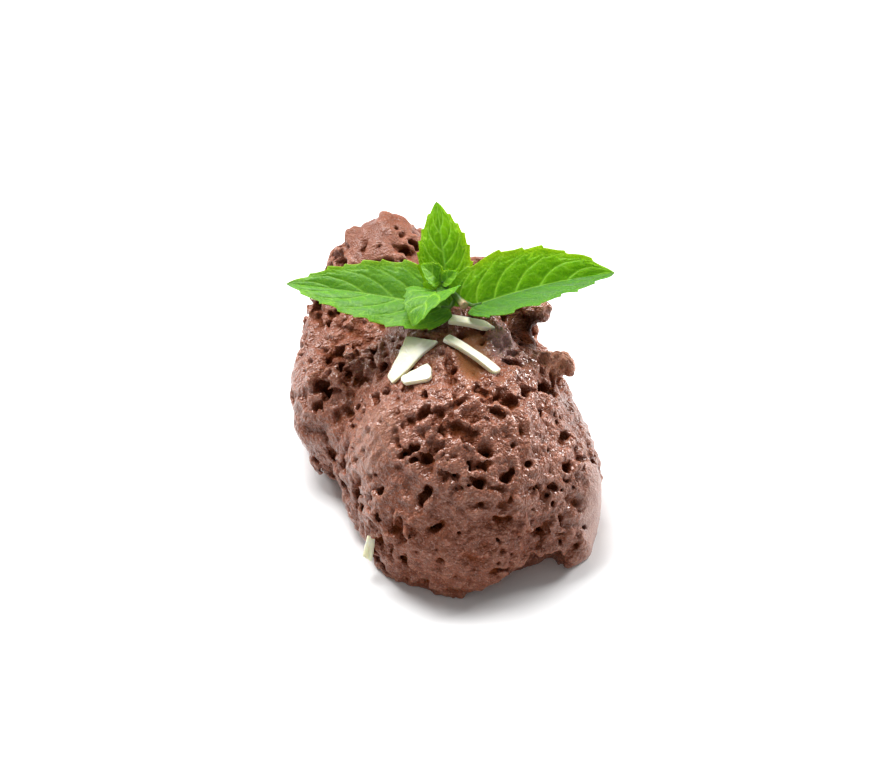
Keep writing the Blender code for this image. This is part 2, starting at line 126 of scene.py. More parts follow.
# Burst bubbles large enough to place one by one: a point of the skin, half width, half height up the
# slope, tilt in degrees, and depth as a share of the half width.
HOLLOWS = (
    (-30.2, 4.2, 27.4, 2.3, 1.9, 0, 1.7),
    (-27.8, 8.2, 30.7, 1.9, 1.4, 20, 1.4),
    (-26.9, 12.3, 33.0, 1.3, 1.3, 0, 1.3),
    (-17.8, 7.5, 36.2, 1.2, 1.8, 0, 1.5),
    (-17.1, 1.1, 35.0, 1.0, 2.0, 0, 1.5),
    (-24.7, 22.5, 34.8, 1.2, 1.2, 0, 1.2),
    (-16.8, -7.8, 34.8, 1.4, 1.9, 0, 0.6),
    (-23.3, 5.8, 31.7, 1.4, 1.2, 0, 1.0),
    (-11.5, -16.0, 38.8, 1.2, 0.7, 30, 1.2),
    (-5.4, -19.9, 40.1, 1.9, 1.7, 0, 1.2),
    (-2.2, -20.7, 40.7, 1.1, 1.4, 0, 1.4),
    (-6.1, -14.5, 41.1, 1.4, 0.8, 0, 1.1),
    (-8.5, -25.4, 35.1, 2.4, 1.5, 10, 1.0),
    (-10.7, -26.0, 32.6, 1.1, 1.9, -20, 1.5),
    (-7.8, -27.6, 32.6, 1.1, 1.0, 0, 1.3),
    (-3.3, -27.8, 34.9, 1.1, 1.0, 0, 1.4),
    (-21.6, -19.0, 25.0, 0.9, 0.8, 0, 1.2),
    (-18.6, -23.8, 25.1, 0.9, 1.0, 0, 1.2),
    (22.4, -6.1, 36.4, 2.5, 2.5, 0, 1.4),
    (17.8, -9.8, 38.7, 2.2, 1.5, -20, 1.1),
    (11.7, -14.1, 41.0, 1.8, 1.1, -20, 1.3),
    (14.0, -15.7, 40.0, 1.5, 1.1, -20, 1.3),
    (14.5, -4.0, 41.6, 2.4, 1.0, -15, 1.0),
    (12.1, -18.7, 40.2, 1.5, 1.4, 0, 1.2),
    (30.5, -3.5, 29.5, 1.3, 2.0, 0, 1.0),
    (20.7, -15.9, 35.2, 0.7, 1.1, 0, 1.6),
    (25.8, -11.6, 31.4, 0.7, 0.9, 0, 1.5),
    (27.6, -14.9, 28.2, 0.6, 0.9, 0, 1.4),
    (31.3, -14.9, 24.1, 0.5, 1.5, 0, 1.6),
    (32.8, -13.8, 22.5, 0.5, 1.5, 0, 1.6),
    (19.6, -23.7, 32.3, 0.7, 0.7, 0, 1.5),
    (22.9, -21.8, 29.5, 0.7, 0.7, 0, 1.5),
    (9.3, -27.5, 34.6, 1.7, 0.8, 0, 1.6),
    (-17.7, -27.8, 21.1, 0.8, 2.3, -30, 2.0),
    (-5.1, -32.9, 26.8, 1.5, 2.7, 0, 1.4),
    (-12.0, -34.6, 17.0, 1.8, 2.6, 25, 1.2),
    (-9.0, -36.3, 18.7, 0.8, 1.3, 0, 1.5),
    (-3.3, -36.7, 20.7, 1.7, 0.9, 0, 1.3),
    (-10.7, -36.1, 10.2, 0.7, 1.2, 0, 2.0),
    (-0.7, -31.8, 31.3, 0.9, 1.2, 0, 1.6),
    (1.6, -32.0, 31.4, 0.6, 0.8, 0, 1.6),
    (7.1, -32.5, 30.2, 2.0, 1.8, 0, 1.4),
    (8.4, -33.3, 29.1, 1.1, 1.1, 0, 1.4),
    (4.0, -34.8, 27.7, 1.3, 0.8, 0, 1.4),
    (13.6, -30.6, 29.9, 1.8, 1.5, 0, 1.3),
    (15.4, -29.5, 30.1, 1.3, 1.3, 0, 1.3),
    (20.7, -28.7, 26.2, 1.1, 1.1, 0, 1.6),
    (24.2, -26.1, 24.5, 0.6, 0.7, 0, 1.5),
    (26.2, -23.2, 25.2, 0.6, 0.6, 0, 1.5),
    (14.0, -34.1, 25.2, 2.0, 1.1, 0, 0.7),
    (12.5, -35.4, 21.6, 2.0, 1.1, 0, 0.6),
    (-0.4, -38.9, 17.8, 0.7, 0.7, 0, 1.5),
    (-2.2, -39.1, 15.8, 0.5, 0.5, 0, 1.5),
    (-2.3, -39.5, 9.1, 0.8, 0.8, 0, 1.5),
    (-4.6, -38.4, 7.0, 0.8, 0.6, 0, 1.2),
    (-22.9, -20.3, 10.8, 0.8, 1.1, 0, 1.3),
    (-18.0, -30.1, 15.8, 0.8, 1.2, 0, 1.3),
    (2.9, -24.5, 38.8, 1.5, 1.3, 0, 1.0),
    (-11.9, -23.0, 34.5, 0.8, 0.8, 0, 1.2),
    (0.0, -17.4, 41.5, 0.8, 0.7, 0, 1.2),
    (1.6, -27.2, 36.7, 1.1, 0.7, 0, 1.2),
    (16.1, -22.3, 36.3, 0.8, 0.7, 0, 1.2),
    (13.4, -25.1, 34.8, 1.1, 0.7, 0, 1.2),
    (18.4, -27.0, 30.5, 1.1, 0.8, 0, 1.2),
    (-11.0, 34.6, 47.4, 2.0, 1.6, 0, 1.3),
    (-7.0, 28.5, 45.5, 1.6, 1.0, 20, 1.2),
    (-19.0, 30.0, 40.5, 1.6, 1.4, 0, 1.1),
    (14.0, 38.0, 30.0, 2.4, 1.9, 0, 1.2),
    (-6.0, 54.0, 34.0, 2.2, 1.8, 0, 1.3),
    (26.0, 12.0, 20.0, 1.8, 2.4, 0, 1.2),
    (20.0, 26.0, 24.0, 2.2, 1.6, 0, 1.3),
)

# ---------------------------------------------------------------- the mound: small arithmetic


def ellipsoid(points, centre, radii):
    """Distance from an ellipsoid's skin, near enough: below zero inside it."""
    away = points - np.array(centre)
    scaled = np.linalg.norm(away / np.array(radii), axis=-1)
    slope = np.linalg.norm(away / np.array(radii) ** 2, axis=-1)
    return scaled * (scaled - 1.0) / np.maximum(slope, 1e-9)


def bar(points, path, start_radius, end_radius):
    """Distance from a round bar along a path of straight stretches, its radius changing evenly end to end."""
    nearest = np.full(points.shape[:-1], np.inf)
    stretches = len(path) - 1
    for number, (start, end) in enumerate(zip(path, path[1:])):
        start = np.array(start)
        along = np.array(end) - start
        share = np.clip((points - start) @ along / (along @ along), 0.0, 1.0)
        away = np.linalg.norm(points - start - share[..., None] * along, axis=-1)
        radius = start_radius + (number + share) / stretches * (end_radius - start_radius)
        nearest = np.minimum(nearest, away - radius)
    return nearest


def join(a, b, blend):
    """The lower of two distances, with the crease between them filled over the width of the blend."""
    share = np.clip(0.5 + 0.5 * (b - a) / blend, 0.0, 1.0)
    return b * (1.0 - share) + a * share - blend * share * (1.0 - share)


def cut(a, b, blend):
    """The first form with the second taken out of it."""
    return -join(-a, b, blend)


def swell(points):
    """Height of the soft swellings: a sum of plane waves whose directions and lengths are drawn once."""
    draw = np.random.default_rng(SWELL_SEED)
    height = np.zeros(points.shape[:-1])
    for _ in range(SWELL_WAVES):
        direction = draw.normal(size=3)
        direction /= np.linalg.norm(direction)
        wavelength = draw.uniform(SWELL_SHORTEST, SWELL_LONGEST)
        phase = draw.uniform(0.0, 2.0 * math.pi)
        height += wavelength * np.sin(points @ direction * 2.0 * math.pi / wavelength + phase)
    height /= SWELL_LONGEST * math.sqrt(SWELL_WAVES / 2.0) / 2.0
    calm = np.linalg.norm(points[..., :2] - CALM_CENTRE, axis=-1) / CALM_RADIUS
    return SWELL_HEIGHT * height * np.clip(calm, 0.25, 1.0)


def lobes(points):
    """Distance from the smooth form that the shavings lie on: lobes joined in turn, then scooped out."""
    field = ellipsoid(points, *LOBES[0][:2])
    for centre, radii, blend in LOBES[1:]:
        field = join(field, ellipsoid(points, centre, radii), blend)
    for centre, radii, blend in SCOOPED_OUT:
        field = cut(field, ellipsoid(points, centre, radii), blend)
    return field - swell(points)


def mound(points):
    """Distance from the mound's smooth skin: the lobes with their ridges and furrows."""
    field = lobes(points)
    for path, start_radius, end_radius, blend in RIDGES:
        field = join(field, bar(points, path, start_radius, end_radius), blend)
    for path, start_radius, end_radius, blend in FURROWS:
        field = cut(field, bar(points, path, start_radius, end_radius), blend)
    return field


def near(points, centre, radii, soft=0.5):
    """1 inside an ellipsoid, falling smoothly to 0 at its surface over the soft share of its radius."""
    reach = np.linalg.norm((points - np.array(centre)) / np.array(radii), axis=-1)
    t = np.clip((1.0 - reach) / soft, 0.0, 1.0)
    return t * t * (3.0 - 2.0 * t)


# ---------------------------------------------------------------- the mound: fields on a fine grid


def spread(coarse, spacing):
    """A field known at evenly spaced knots, spread over the fine grid by straight lines between them."""
    for k in range(3):
        at = (AXES[k] - LOW[k]) / spacing
        first = np.floor(at).astype(int)
        table = np.zeros((len(at), coarse.shape[k]), np.float32)
        rows = np.arange(len(at))
        table[rows, first] = 1.0 - (at - first)
        table[rows, first + 1] = at - first
        coarse = np.moveaxis(np.tensordot(table, coarse, (1, k)), 0, k)
    return np.ascontiguousarray(coarse)


def noise(cell, seed):
    """Smooth random heights on the fine grid, spread 1: a cubic B-spline through random knots a cell apart."""
    knots = np.ceil((HIGH - LOW) / cell).astype(int) + 5
    heights = np.random.default_rng(seed).standard_normal(knots).astype(np.float32)
    for k in range(3):
        at = (AXES[k] - LOW[k]) / cell
        first = np.floor(at).astype(int)
        t = at - first
        weights = ((1 - t) ** 3, 3 * t**3 - 6 * t**2 + 4, -3 * t**3 + 3 * t**2 + 3 * t + 1, t**3)
        table = np.zeros((len(at), knots[k]), np.float32)
        rows = np.arange(len(at))
        for i, weight in enumerate(weights):
            table[rows, first + i] = weight / 6.0
        heights = np.moveaxis(np.tensordot(table, heights, (1, k)), 0, k)
    return np.ascontiguousarray(heights) / 0.33


def value_at(grid, points):
    """Value of a grid field at points in millimetres, by straight lines between its knots."""
    at = (points - LOW) / VOXEL
    first = np.clip(np.floor(at).astype(int), 0, np.array(grid.shape) - 2)
    t = at - first
    total = np.zeros(len(points))
    for corner in np.ndindex(2, 2, 2):
        weight = np.prod(np.where(corner, t, 1.0 - t), axis=1)
        total += weight * grid[tuple((first + corner).T)]
    return total


def slope_at(grid, points):
    """Outward unit normal of a grid field at points."""
    step = 1.2 * VOXEL * np.eye(3)
    slope = np.stack([value_at(grid, points + s) - value_at(grid, points - s) for s in step], -1)
    return slope / np.maximum(np.linalg.norm(slope, axis=1, keepdims=True), 1e-9)


def window(centre, reach):
    """The part of the fine grid within reach of a centre, as its slices. its slices and its three open axes."""
    slices, axes = [], []
    for k in range(3):
        first = max(int((centre[k] - reach - LOW[k]) / VOXEL), 0)
        last = min(int((centre[k] + reach - LOW[k]) / VOXEL) + 2, len(AXES[k]))
        slices.append(slice(first, last))
    return tuple(slices)


# Where the skin differs: the smear left by the spoon, the wiped band at the right, the wet trough under
# the shavings, the slumped foot, and the coarse, torn masses at the left, the back and the right top.
SMEAR = ((-18.5, -17.5, 30.5), (11.0, 10.5, 15.0))
WIPED = ((35.5, -21.0, 10.0), (8.5, 11.0, 19.0))
WET = ((5.6, -3.0, 43.5), (4.6, 10.0, 5.0))
FOOT = ((3.0, -40.0, 6.0), (20.0, 16.0, 14.0))
COARSE_LEFT = ((-30.0, 8.0, 22.0), (17.0, 22.0, 26.0))
COARSE_BACK = ((-10.0, 45.0, 30.0), (40.0, 32.0, 40.0))
COARSE_RIGHT = ((24.0, 6.0, 33.0), (13.0, 16.0, 14.0))
CHURNED = ((7.0, -24.0, 35.0), (18.0, 9.0, 12.0))
TORN = ((26.0, 4.0, 35.5), (7.5, 6.5, 7.0))
CREST_TIP = ((21.5, 16.0, 39.5), (8.0, 8.0, 8.5))
TOP = ((-15.0, 44.0, 46.0), (11.0, 11.0, 8.0))
FRONT = ((4.0, -42.0, 8.0), (36.0, 24.0, 24.0))
DRAWN_OUT = ((-13.0, -35.0, 18.0), (12.0, 10.0, 16.0))
# The pale wall of the ridge beside the trough, whose mauve colour is a painted sheen:
PAINTED_SHEEN_WALL = ((13.0, 2.0, 43.0), (4.5, 8.5, 5.0))
SHADED = ((18.6, 9.5, 39.6), (6.0, 8.5, 5.5))

# Streaks of the smear: they run along this direction, and their heights change across it.
STREAK_ACROSS = np.array((-0.475, 0.839, 0.28))
STREAKS = ((1.1, 0.10), (1.7, 0.14), (2.7, 0.20), (4.3, 0.22))  # wavelength, height


REGIONS_SHOWN = ("wet", "wiped", "smear", "painted_sheen_wall", "shaded", "front", "lump", "back")  # those the finish reads


def region_fields(points):
    """Weights of the regions at points, by name."""
    return dict(
        smear=near(points, *SMEAR),
        wiped=near(points, *WIPED),
        wet=near(points, *WET, 0.4),
        foot=near(points, *FOOT),
        coarse=np.maximum.reduce([near(points, *r) for r in (COARSE_LEFT, COARSE_BACK, COARSE_RIGHT)]),
        churned=near(points, *CHURNED),
        drawn_out=near(points, *DRAWN_OUT),
        painted_sheen_wall=near(points, *PAINTED_SHEEN_WALL),
        torn=np.maximum(near(points, *TORN), near(points, *CREST_TIP)),
        front=near(points, *FRONT),
        top=near(points, *TOP),
        lump=near(points, *TORN),
        back=near(points, *COARSE_BACK),
        shaded=near(points, *SHADED),
    )


def quietness(regions):
    """How much of the roughness each region keeps."""
    smooth = regions["wiped"] * 0.85 + regions["wet"] * 0.95 + regions["smear"] * 0.6 + regions["top"] * 0.2
    return 1.0 - np.clip(smooth, 0.0, 0.95)


def billow(cell, seed):
    """Rounded knobs with sharp creases between them: the size of a smooth noise, about its mean."""
    return np.abs(noise(cell, seed)) - 0.8


def roughen(field, regions):
    """Lumps from 8 mm down to 4 mm, coarse knobs in the torn regions, and streaks in the smear."""
    broad = 0.40 * noise(8.0, 21) + 0.34 * noise(4.2, 22)
    lumps = broad * (0.45 + 0.6 * regions["coarse"]) + 0.45 * billow(4.4, 27) * regions["coarse"]
    field = field - (lumps - 0.25 - 0.2 * regions["coarse"]) * quietness(regions)
    across = sum(AXES[k].reshape([-1 if i == k else 1 for i in range(3)]) * STREAK_ACROSS[k] for k in range(3))
    across = across.astype(np.float32) + 1.1 * noise(7.0, 25)
    draw = np.random.default_rng(31)
    streaks = sum(h * np.sin(2.0 * math.pi * across / w + draw.uniform(0, 6.3)) for w, h in STREAKS)
    return field - streaks * regions["smear"] * (0.6 + 0.4 * np.tanh(noise(3.0, 26)))


def pebble(field, regions):
    """Small knobs, 2.3 mm and 1.3 mm across, over the skin and the walls of the bubbles alike."""
    calm = 1.0 - 0.35 * regions["coarse"]
    cells = 0.38 * billow(2.3, 23) * (calm - 1.6 * regions["torn"])
    knobs = 0.24 * billow(1.3, 24) * (calm - 0.2 * regions["coarse"] + 0.5 * regions["churned"] + 0.9 * regions["lump"])
    return field + (cells - knobs + 0.02) * quietness(regions)


def carve_bubble(field, warp, centre, axes, radii, rim):
    """Take an ellipsoid out of the field, after raising a soft rim of skin round its mouth."""
    reach = max(radii) * 1.5 + 1.0
    part = window(centre, reach)
    grids = np.ix_(*[AXES[k][part[k]] - centre[k] for k in range(3)])
    away = [grids[k] + warp[k][part] for k in range(3)]
    scaled = sum((sum(away[k] * axes[i][k] for k in range(3)) / radii[i]) ** 2 for i in range(3))
    size = float(np.prod(radii)) ** (1.0 / 3.0)
    distance = (np.sqrt(scaled) - 1.0) * size
    close = np.clip(1.2 - field[part] / 0.5, 0.0, 1.0)
    here = field[part] - rim * close * np.exp(-((distance - 0.15 * size) / (0.35 * size)) ** 2)
    field[part] = cut(here, distance, 0.3 + 0.25 * size)


def place_hollows(field, warp):
    """The bubbles of the table, each a main hollow with three or four others broken into its wall."""
    draw = np.random.default_rng(41)
    spots = np.array([h[:3] for h in HOLLOWS])
    for _ in range(3):
        spots = spots - slope_at(field, spots) * value_at(field, spots)[:, None]
    normals = slope_at(field, spots)
    for spot, normal, (_, _, _, wide, high, tilt, depth) in zip(spots, normals, HOLLOWS):
        level = np.cross((0.0, 0.0, 1.0), normal)
        level = level if np.linalg.norm(level) > 0.2 else np.cross((0.0, 1.0, 0.0), normal)
        level /= np.linalg.norm(level)
        upslope = np.cross(normal, level)
        turn = math.radians(tilt)
        first = level * math.cos(turn) + upslope * math.sin(turn)
        second = upslope * math.cos(turn) - level * math.sin(turn)
        deep = max(wide * depth, 0.6)
        centre = spot - normal * deep * 0.4
        carve_bubble(field, warp, centre, (first, second, normal), (0.8 * wide, 0.8 * high, deep), 0.25)
        start = draw.uniform(0.0, 2.0 * math.pi)
        count = draw.integers(3, 5)
        for number in range(count):
            way = start + 2.0 * math.pi * (number + draw.uniform(-0.25, 0.25)) / count
            aside = first * math.cos(way) * wide * 0.65 + second * math.sin(way) * high * 0.65
            down = normal * draw.uniform(-0.1, 0.7) * deep
            r = draw.uniform(0.35, 0.62) * math.sqrt(wide * high) + 0.1
            carve_bubble(field, warp, spot + aside - down, (first, second, normal), (r, r, 1.2 * r), 0.2)


# Random burst bubbles: how many, smallest and largest radius, how far their middles lie from the skin as a
# share of the radius (above it for a dish, below it for a hole), the seed of their places, and the region
# they keep to.
BUBBLES = (
    (420, 0.85, 1.4, -0.3, 0.6, 71, ""),
    (3000, 0.45, 1.0, -0.3, 0.8, 72, ""),
    (4200, 0.32, 0.55, -0.1, 0.9, 73, ""),
    (560, 0.45, 1.0, -0.1, 0.8, 74, "front"),
)


def scatter_bubbles(field, warp, clusters, count, smallest, largest, highest, lowest, seed, where):
    """Random burst bubbles over the skin, in clusters, larger where it is coarse and drawn out down the front."""
    draw = np.random.default_rng(seed)
    tries = draw.uniform(LOW + 2.0, HIGH - 2.0, (count * 70, 3))
    tries = tries[np.abs(value_at(field, tries)) < 0.9]
    tries = tries[tries[:, 2] > 0.8]
    here = region_fields(tries)
    keep = 1.0 - 0.8 * here["smear"] - 0.97 * here["wiped"] - 0.99 * here["wet"] - 0.3 * here["foot"] - 0.8 * here["torn"]
    keep = keep - 0.6 * here["top"]
    if where:
        keep = np.minimum(keep, here[where])
    keep = np.clip(keep, 0.0, 1.0) * np.clip(0.5 + 0.45 * value_at(clusters, tries), 0.06, 1.0)
    tries = tries[draw.uniform(size=len(tries)) < keep][:count]
    spots = tries - slope_at(field, tries) * value_at(field, tries)[:, None]
    normals = slope_at(field, spots)
    here = region_fields(spots)
    grow = 1.0 + 0.3 * here["coarse"] - 0.3 * here["churned"]
    for spot, normal, larger, drawn in zip(spots, normals, grow, here["drawn_out"]):
        size = smallest * (largest / smallest) ** (draw.uniform() ** 1.8) * larger
        turn = draw.uniform(0.0, math.pi) * (1.0 - drawn)
        stretch = draw.uniform(0.7, 1.3) * (1.0 - drawn) + 1.45 * drawn
        level = np.cross((0.0, 0.0, 1.0), normal)
        level /= max(np.linalg.norm(level), 1e-6)
        upslope = np.cross(normal, level)
        first = upslope * math.cos(turn) + level * math.sin(turn)
        second = level * math.cos(turn) - upslope * math.sin(turn)
        radii = (size * stretch, size / stretch, size * draw.uniform(0.8, 1.4))
        centre = spot - normal * radii[2] * draw.uniform(highest, lowest)
        carve_bubble(field, warp, centre, (first, second, normal), radii, 0.24 * min(size, 0.9))


def soften(field, times=1):
    """A grid field with each value averaged with its neighbours along the three axes in turn."""
    field = field.copy()
    for _ in range(times):
        for k in range(3):
            line = np.moveaxis(field, k, 0)
            line[1:-1] = (line[:-2] + 2.0 * line[1:-1] + line[2:]) / 4.0
    return field


def largest_piece(points, faces):
    """The points and faces of the largest connected piece: closed voids and crumbs in the air are dropped."""
    label = np.arange(len(points))
    edges = np.vstack([faces[:, [0, 1]], faces[:, [1, 2]], faces[:, [2, 3]]])
    while True:
        lowest = np.minimum(label[edges[:, 0]], label[edges[:, 1]])
        before = label.copy()
        np.minimum.at(label, edges[:, 0], lowest)
        np.minimum.at(label, edges[:, 1], lowest)
        label = label[label]
        label = label[label]
        if np.array_equal(before, label):
            break
    kept = label == np.bincount(label).argmax()
    number = np.cumsum(kept) - 1
    return points[kept], number[faces[kept[faces[:, 0]]]]


def surface_net(field):
    """The zero level of a grid field as four-sided faces.

    Each cell that the level passes through gets one point, the mean of where the level crosses the cell's
    edges. Each grid edge that the level crosses gets one face, through the points of the four cells round it.
    """
    inside = field < 0.0
    count = np.zeros([n - 1 for n in field.shape], np.uint8)
    for corner in np.ndindex(2, 2, 2):
        count += inside[tuple(slice(c, n - 1 + c) for c, n in zip(corner, field.shape))]
    crossed = (count > 0) & (count < 8)
    cells = np.argwhere(crossed)
    number = np.full(crossed.shape, -1, np.int64)
    number[crossed] = np.arange(len(cells))
    total = np.zeros((len(cells), 3))
    crossings = np.zeros((len(cells), 1))
    faces = []
    for k in range(3):
        i, j = (k + 1) % 3, (k + 2) % 3
        step = np.eye(3, dtype=int)
        for a, b in np.ndindex(2, 2):
            start = step[i] * a + step[j] * b
            first = field[tuple((cells + start).T)]
            last = field[tuple((cells + start + step[k]).T)]
            cross = (first < 0.0) != (last < 0.0)
            share = np.where(cross, first / np.where(cross, first - last, 1.0), 0.0)
            total += cross[:, None] * (start + share[:, None] * step[k])
            crossings += cross[:, None]
        ahead = [slice(1, -1)] * 3
        behind = [slice(1, -1)] * 3
        behind[k], ahead[k] = slice(0, -1), slice(1, None)
        changes = inside[tuple(behind)] != inside[tuple(ahead)]
        at = np.argwhere(changes) + 1
        at[:, k] -= 1
        outward = inside[tuple(at.T)]
        ring = [number[tuple((at - d).T)] for d in (step[i] + step[j], step[j], 0 * step[i], step[i])]
        ring = np.stack(ring, 1)
        faces.append(np.where(outward[:, None], ring, ring[:, ::-1]))
    points = LOW + VOXEL * (cells + total / crossings)
    return points, np.vstack(faces)


# ---------------------------------------------------------------- putting shapes into Blender


def put_into_blender(name, points, faces, material, attributes=None):
    """An object from points in millimetres and four-sided faces, with one number per point for each attribute."""
    mesh = bpy.data.meshes.new(name)
    sides = faces.shape[1]
    mesh.vertices.add(len(points))
    mesh.vertices.foreach_set("co", (np.asarray(points) * MM).astype(np.float32).ravel())
    mesh.loops.add(faces.size)
    mesh.loops.foreach_set("vertex_index", faces.astype(np.int32).ravel())
    mesh.polygons.add(len(faces))
    mesh.polygons.foreach_set("loop_start", np.arange(0, faces.size, sides, dtype=np.int32))
    mesh.polygons.foreach_set("use_smooth", np.ones(len(faces), bool))
    mesh.update(calc_edges=True)
    for label, values in (attributes or {}).items():
        mesh.attributes.new(label, "FLOAT", "POINT").data.foreach_set("value", np.asarray(values, np.float32).ravel())
    mesh.materials.append(material)
    obj = bpy.data.objects.new(name, mesh)
    bpy.context.scene.collection.objects.link(obj)
    return obj


def weld_poles(obj):
    """Each end ring, drawn in to one place, becomes one point, so the surface closes there."""
    work = bmesh.new()
    work.from_mesh(obj.data)
    bmesh.ops.remove_doubles(work, verts=work.verts, dist=1e-7)
    work.to_mesh(obj.data)
    work.free()


def closed_tube_faces(rows, ring):
    """Faces of a grid of points whose rows are closed rings, each joined to the next."""
    row, place = np.meshgrid(np.arange(rows - 1), np.arange(ring), indexing="ij")
    beside = (place + 1) % ring
    corners = (row * ring + place, row * ring + beside, (row + 1) * ring + beside, (row + 1) * ring + place)
    return np.stack(corners, -1).reshape(-1, 4)


def dress(obj, nodes):
    """The piece moves with the dessert's one body and stands for its solids, which are hidden."""
    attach(obj, BODY)
    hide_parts(*nodes)
    return obj


# ---------------------------------------------------------------- materials


class Finish:
    """A material and a short way to add nodes to it and to wire them."""

    def __init__(self, name):
        self.material = bpy.data.materials.new(name)
        self.material.use_nodes = True
        self.nodes = self.material.node_tree.nodes
        self.links = self.material.node_tree.links
        self.shader = self.nodes["Principled BSDF"]

    def add(self, kind, inputs=None, **settings):
        node = self.nodes.new(kind)
        for key, value in settings.items():
            setattr(node, key, value)
        for key, value in (inputs or {}).items():
            self.feed(node.inputs[key], value)
        return node

    def feed(self, socket, value):
        if isinstance(value, bpy.types.NodeSocket):
            self.links.new(value, socket)
        else:
            socket.default_value = value

    def shade(self, **inputs):
        for key, value in inputs.items():
            self.feed(self.shader.inputs[key.replace("_", " ")], value)

    def place(self):
        return self.add("ShaderNodeTexCoord").outputs["Object"]

    def attribute(self, name):
        return self.add("ShaderNodeAttribute", attribute_name=name).outputs["Fac"]

    def math(self, operation, a, b=0.0, c=0.0, clamp=False):
        node = self.add("ShaderNodeMath", operation=operation, use_clamp=clamp)
        for socket, value in zip(node.inputs, (a, b, c)):
            self.feed(socket, value)
        return node.outputs[0]

    def warped(self, scale, reach):
        """The object's own coordinates, pushed about by noise of this scale, as far as reach."""
        push = self.add("ShaderNodeTexNoise", {"Scale": scale, "Detail": 2.0, "Vector": self.place()})
        node = self.add("ShaderNodeVectorMath", operation="MULTIPLY_ADD")
        for socket, value in zip(node.inputs, (push.outputs["Color"], (reach, reach, reach), self.place())):
            self.feed(socket, value)
        return node.outputs[0]

    def noise(self, scale, detail=4.0, roughness=0.55, vector=None):
        inputs = {"Scale": scale, "Detail": detail, "Roughness": roughness, "Vector": vector or self.place()}
        return self.add("ShaderNodeTexNoise", inputs).outputs["Fac"]

    def mix(self, share, a, b, blend="MIX"):
        node = self.add("ShaderNodeMix", data_type="RGBA", blend_type=blend, clamp_factor=True)
        self.feed(node.inputs["Factor"], share)
        for label, value in (("A", a), ("B", b)):
            socket = [s for s in node.inputs if s.name == label and s.type == "RGBA"][0]
            self.feed(socket, value if isinstance(value, bpy.types.NodeSocket) else (*value, 1.0))
        return [s for s in node.outputs if s.type == "RGBA"][0]

    def ramp(self, value, low, high):
        node = self.add("ShaderNodeMapRange", {"Value": value, "From Min": low, "From Max": high})
        return node.outputs["Result"]

    def bump(self, height, distance, strength=1.0, normal=None):
        node = self.add("ShaderNodeBump", {"Height": height, "Distance": distance, "Strength": strength})
        if normal is not None:
            self.feed(node.inputs["Normal"], normal)
        return node.outputs["Normal"]


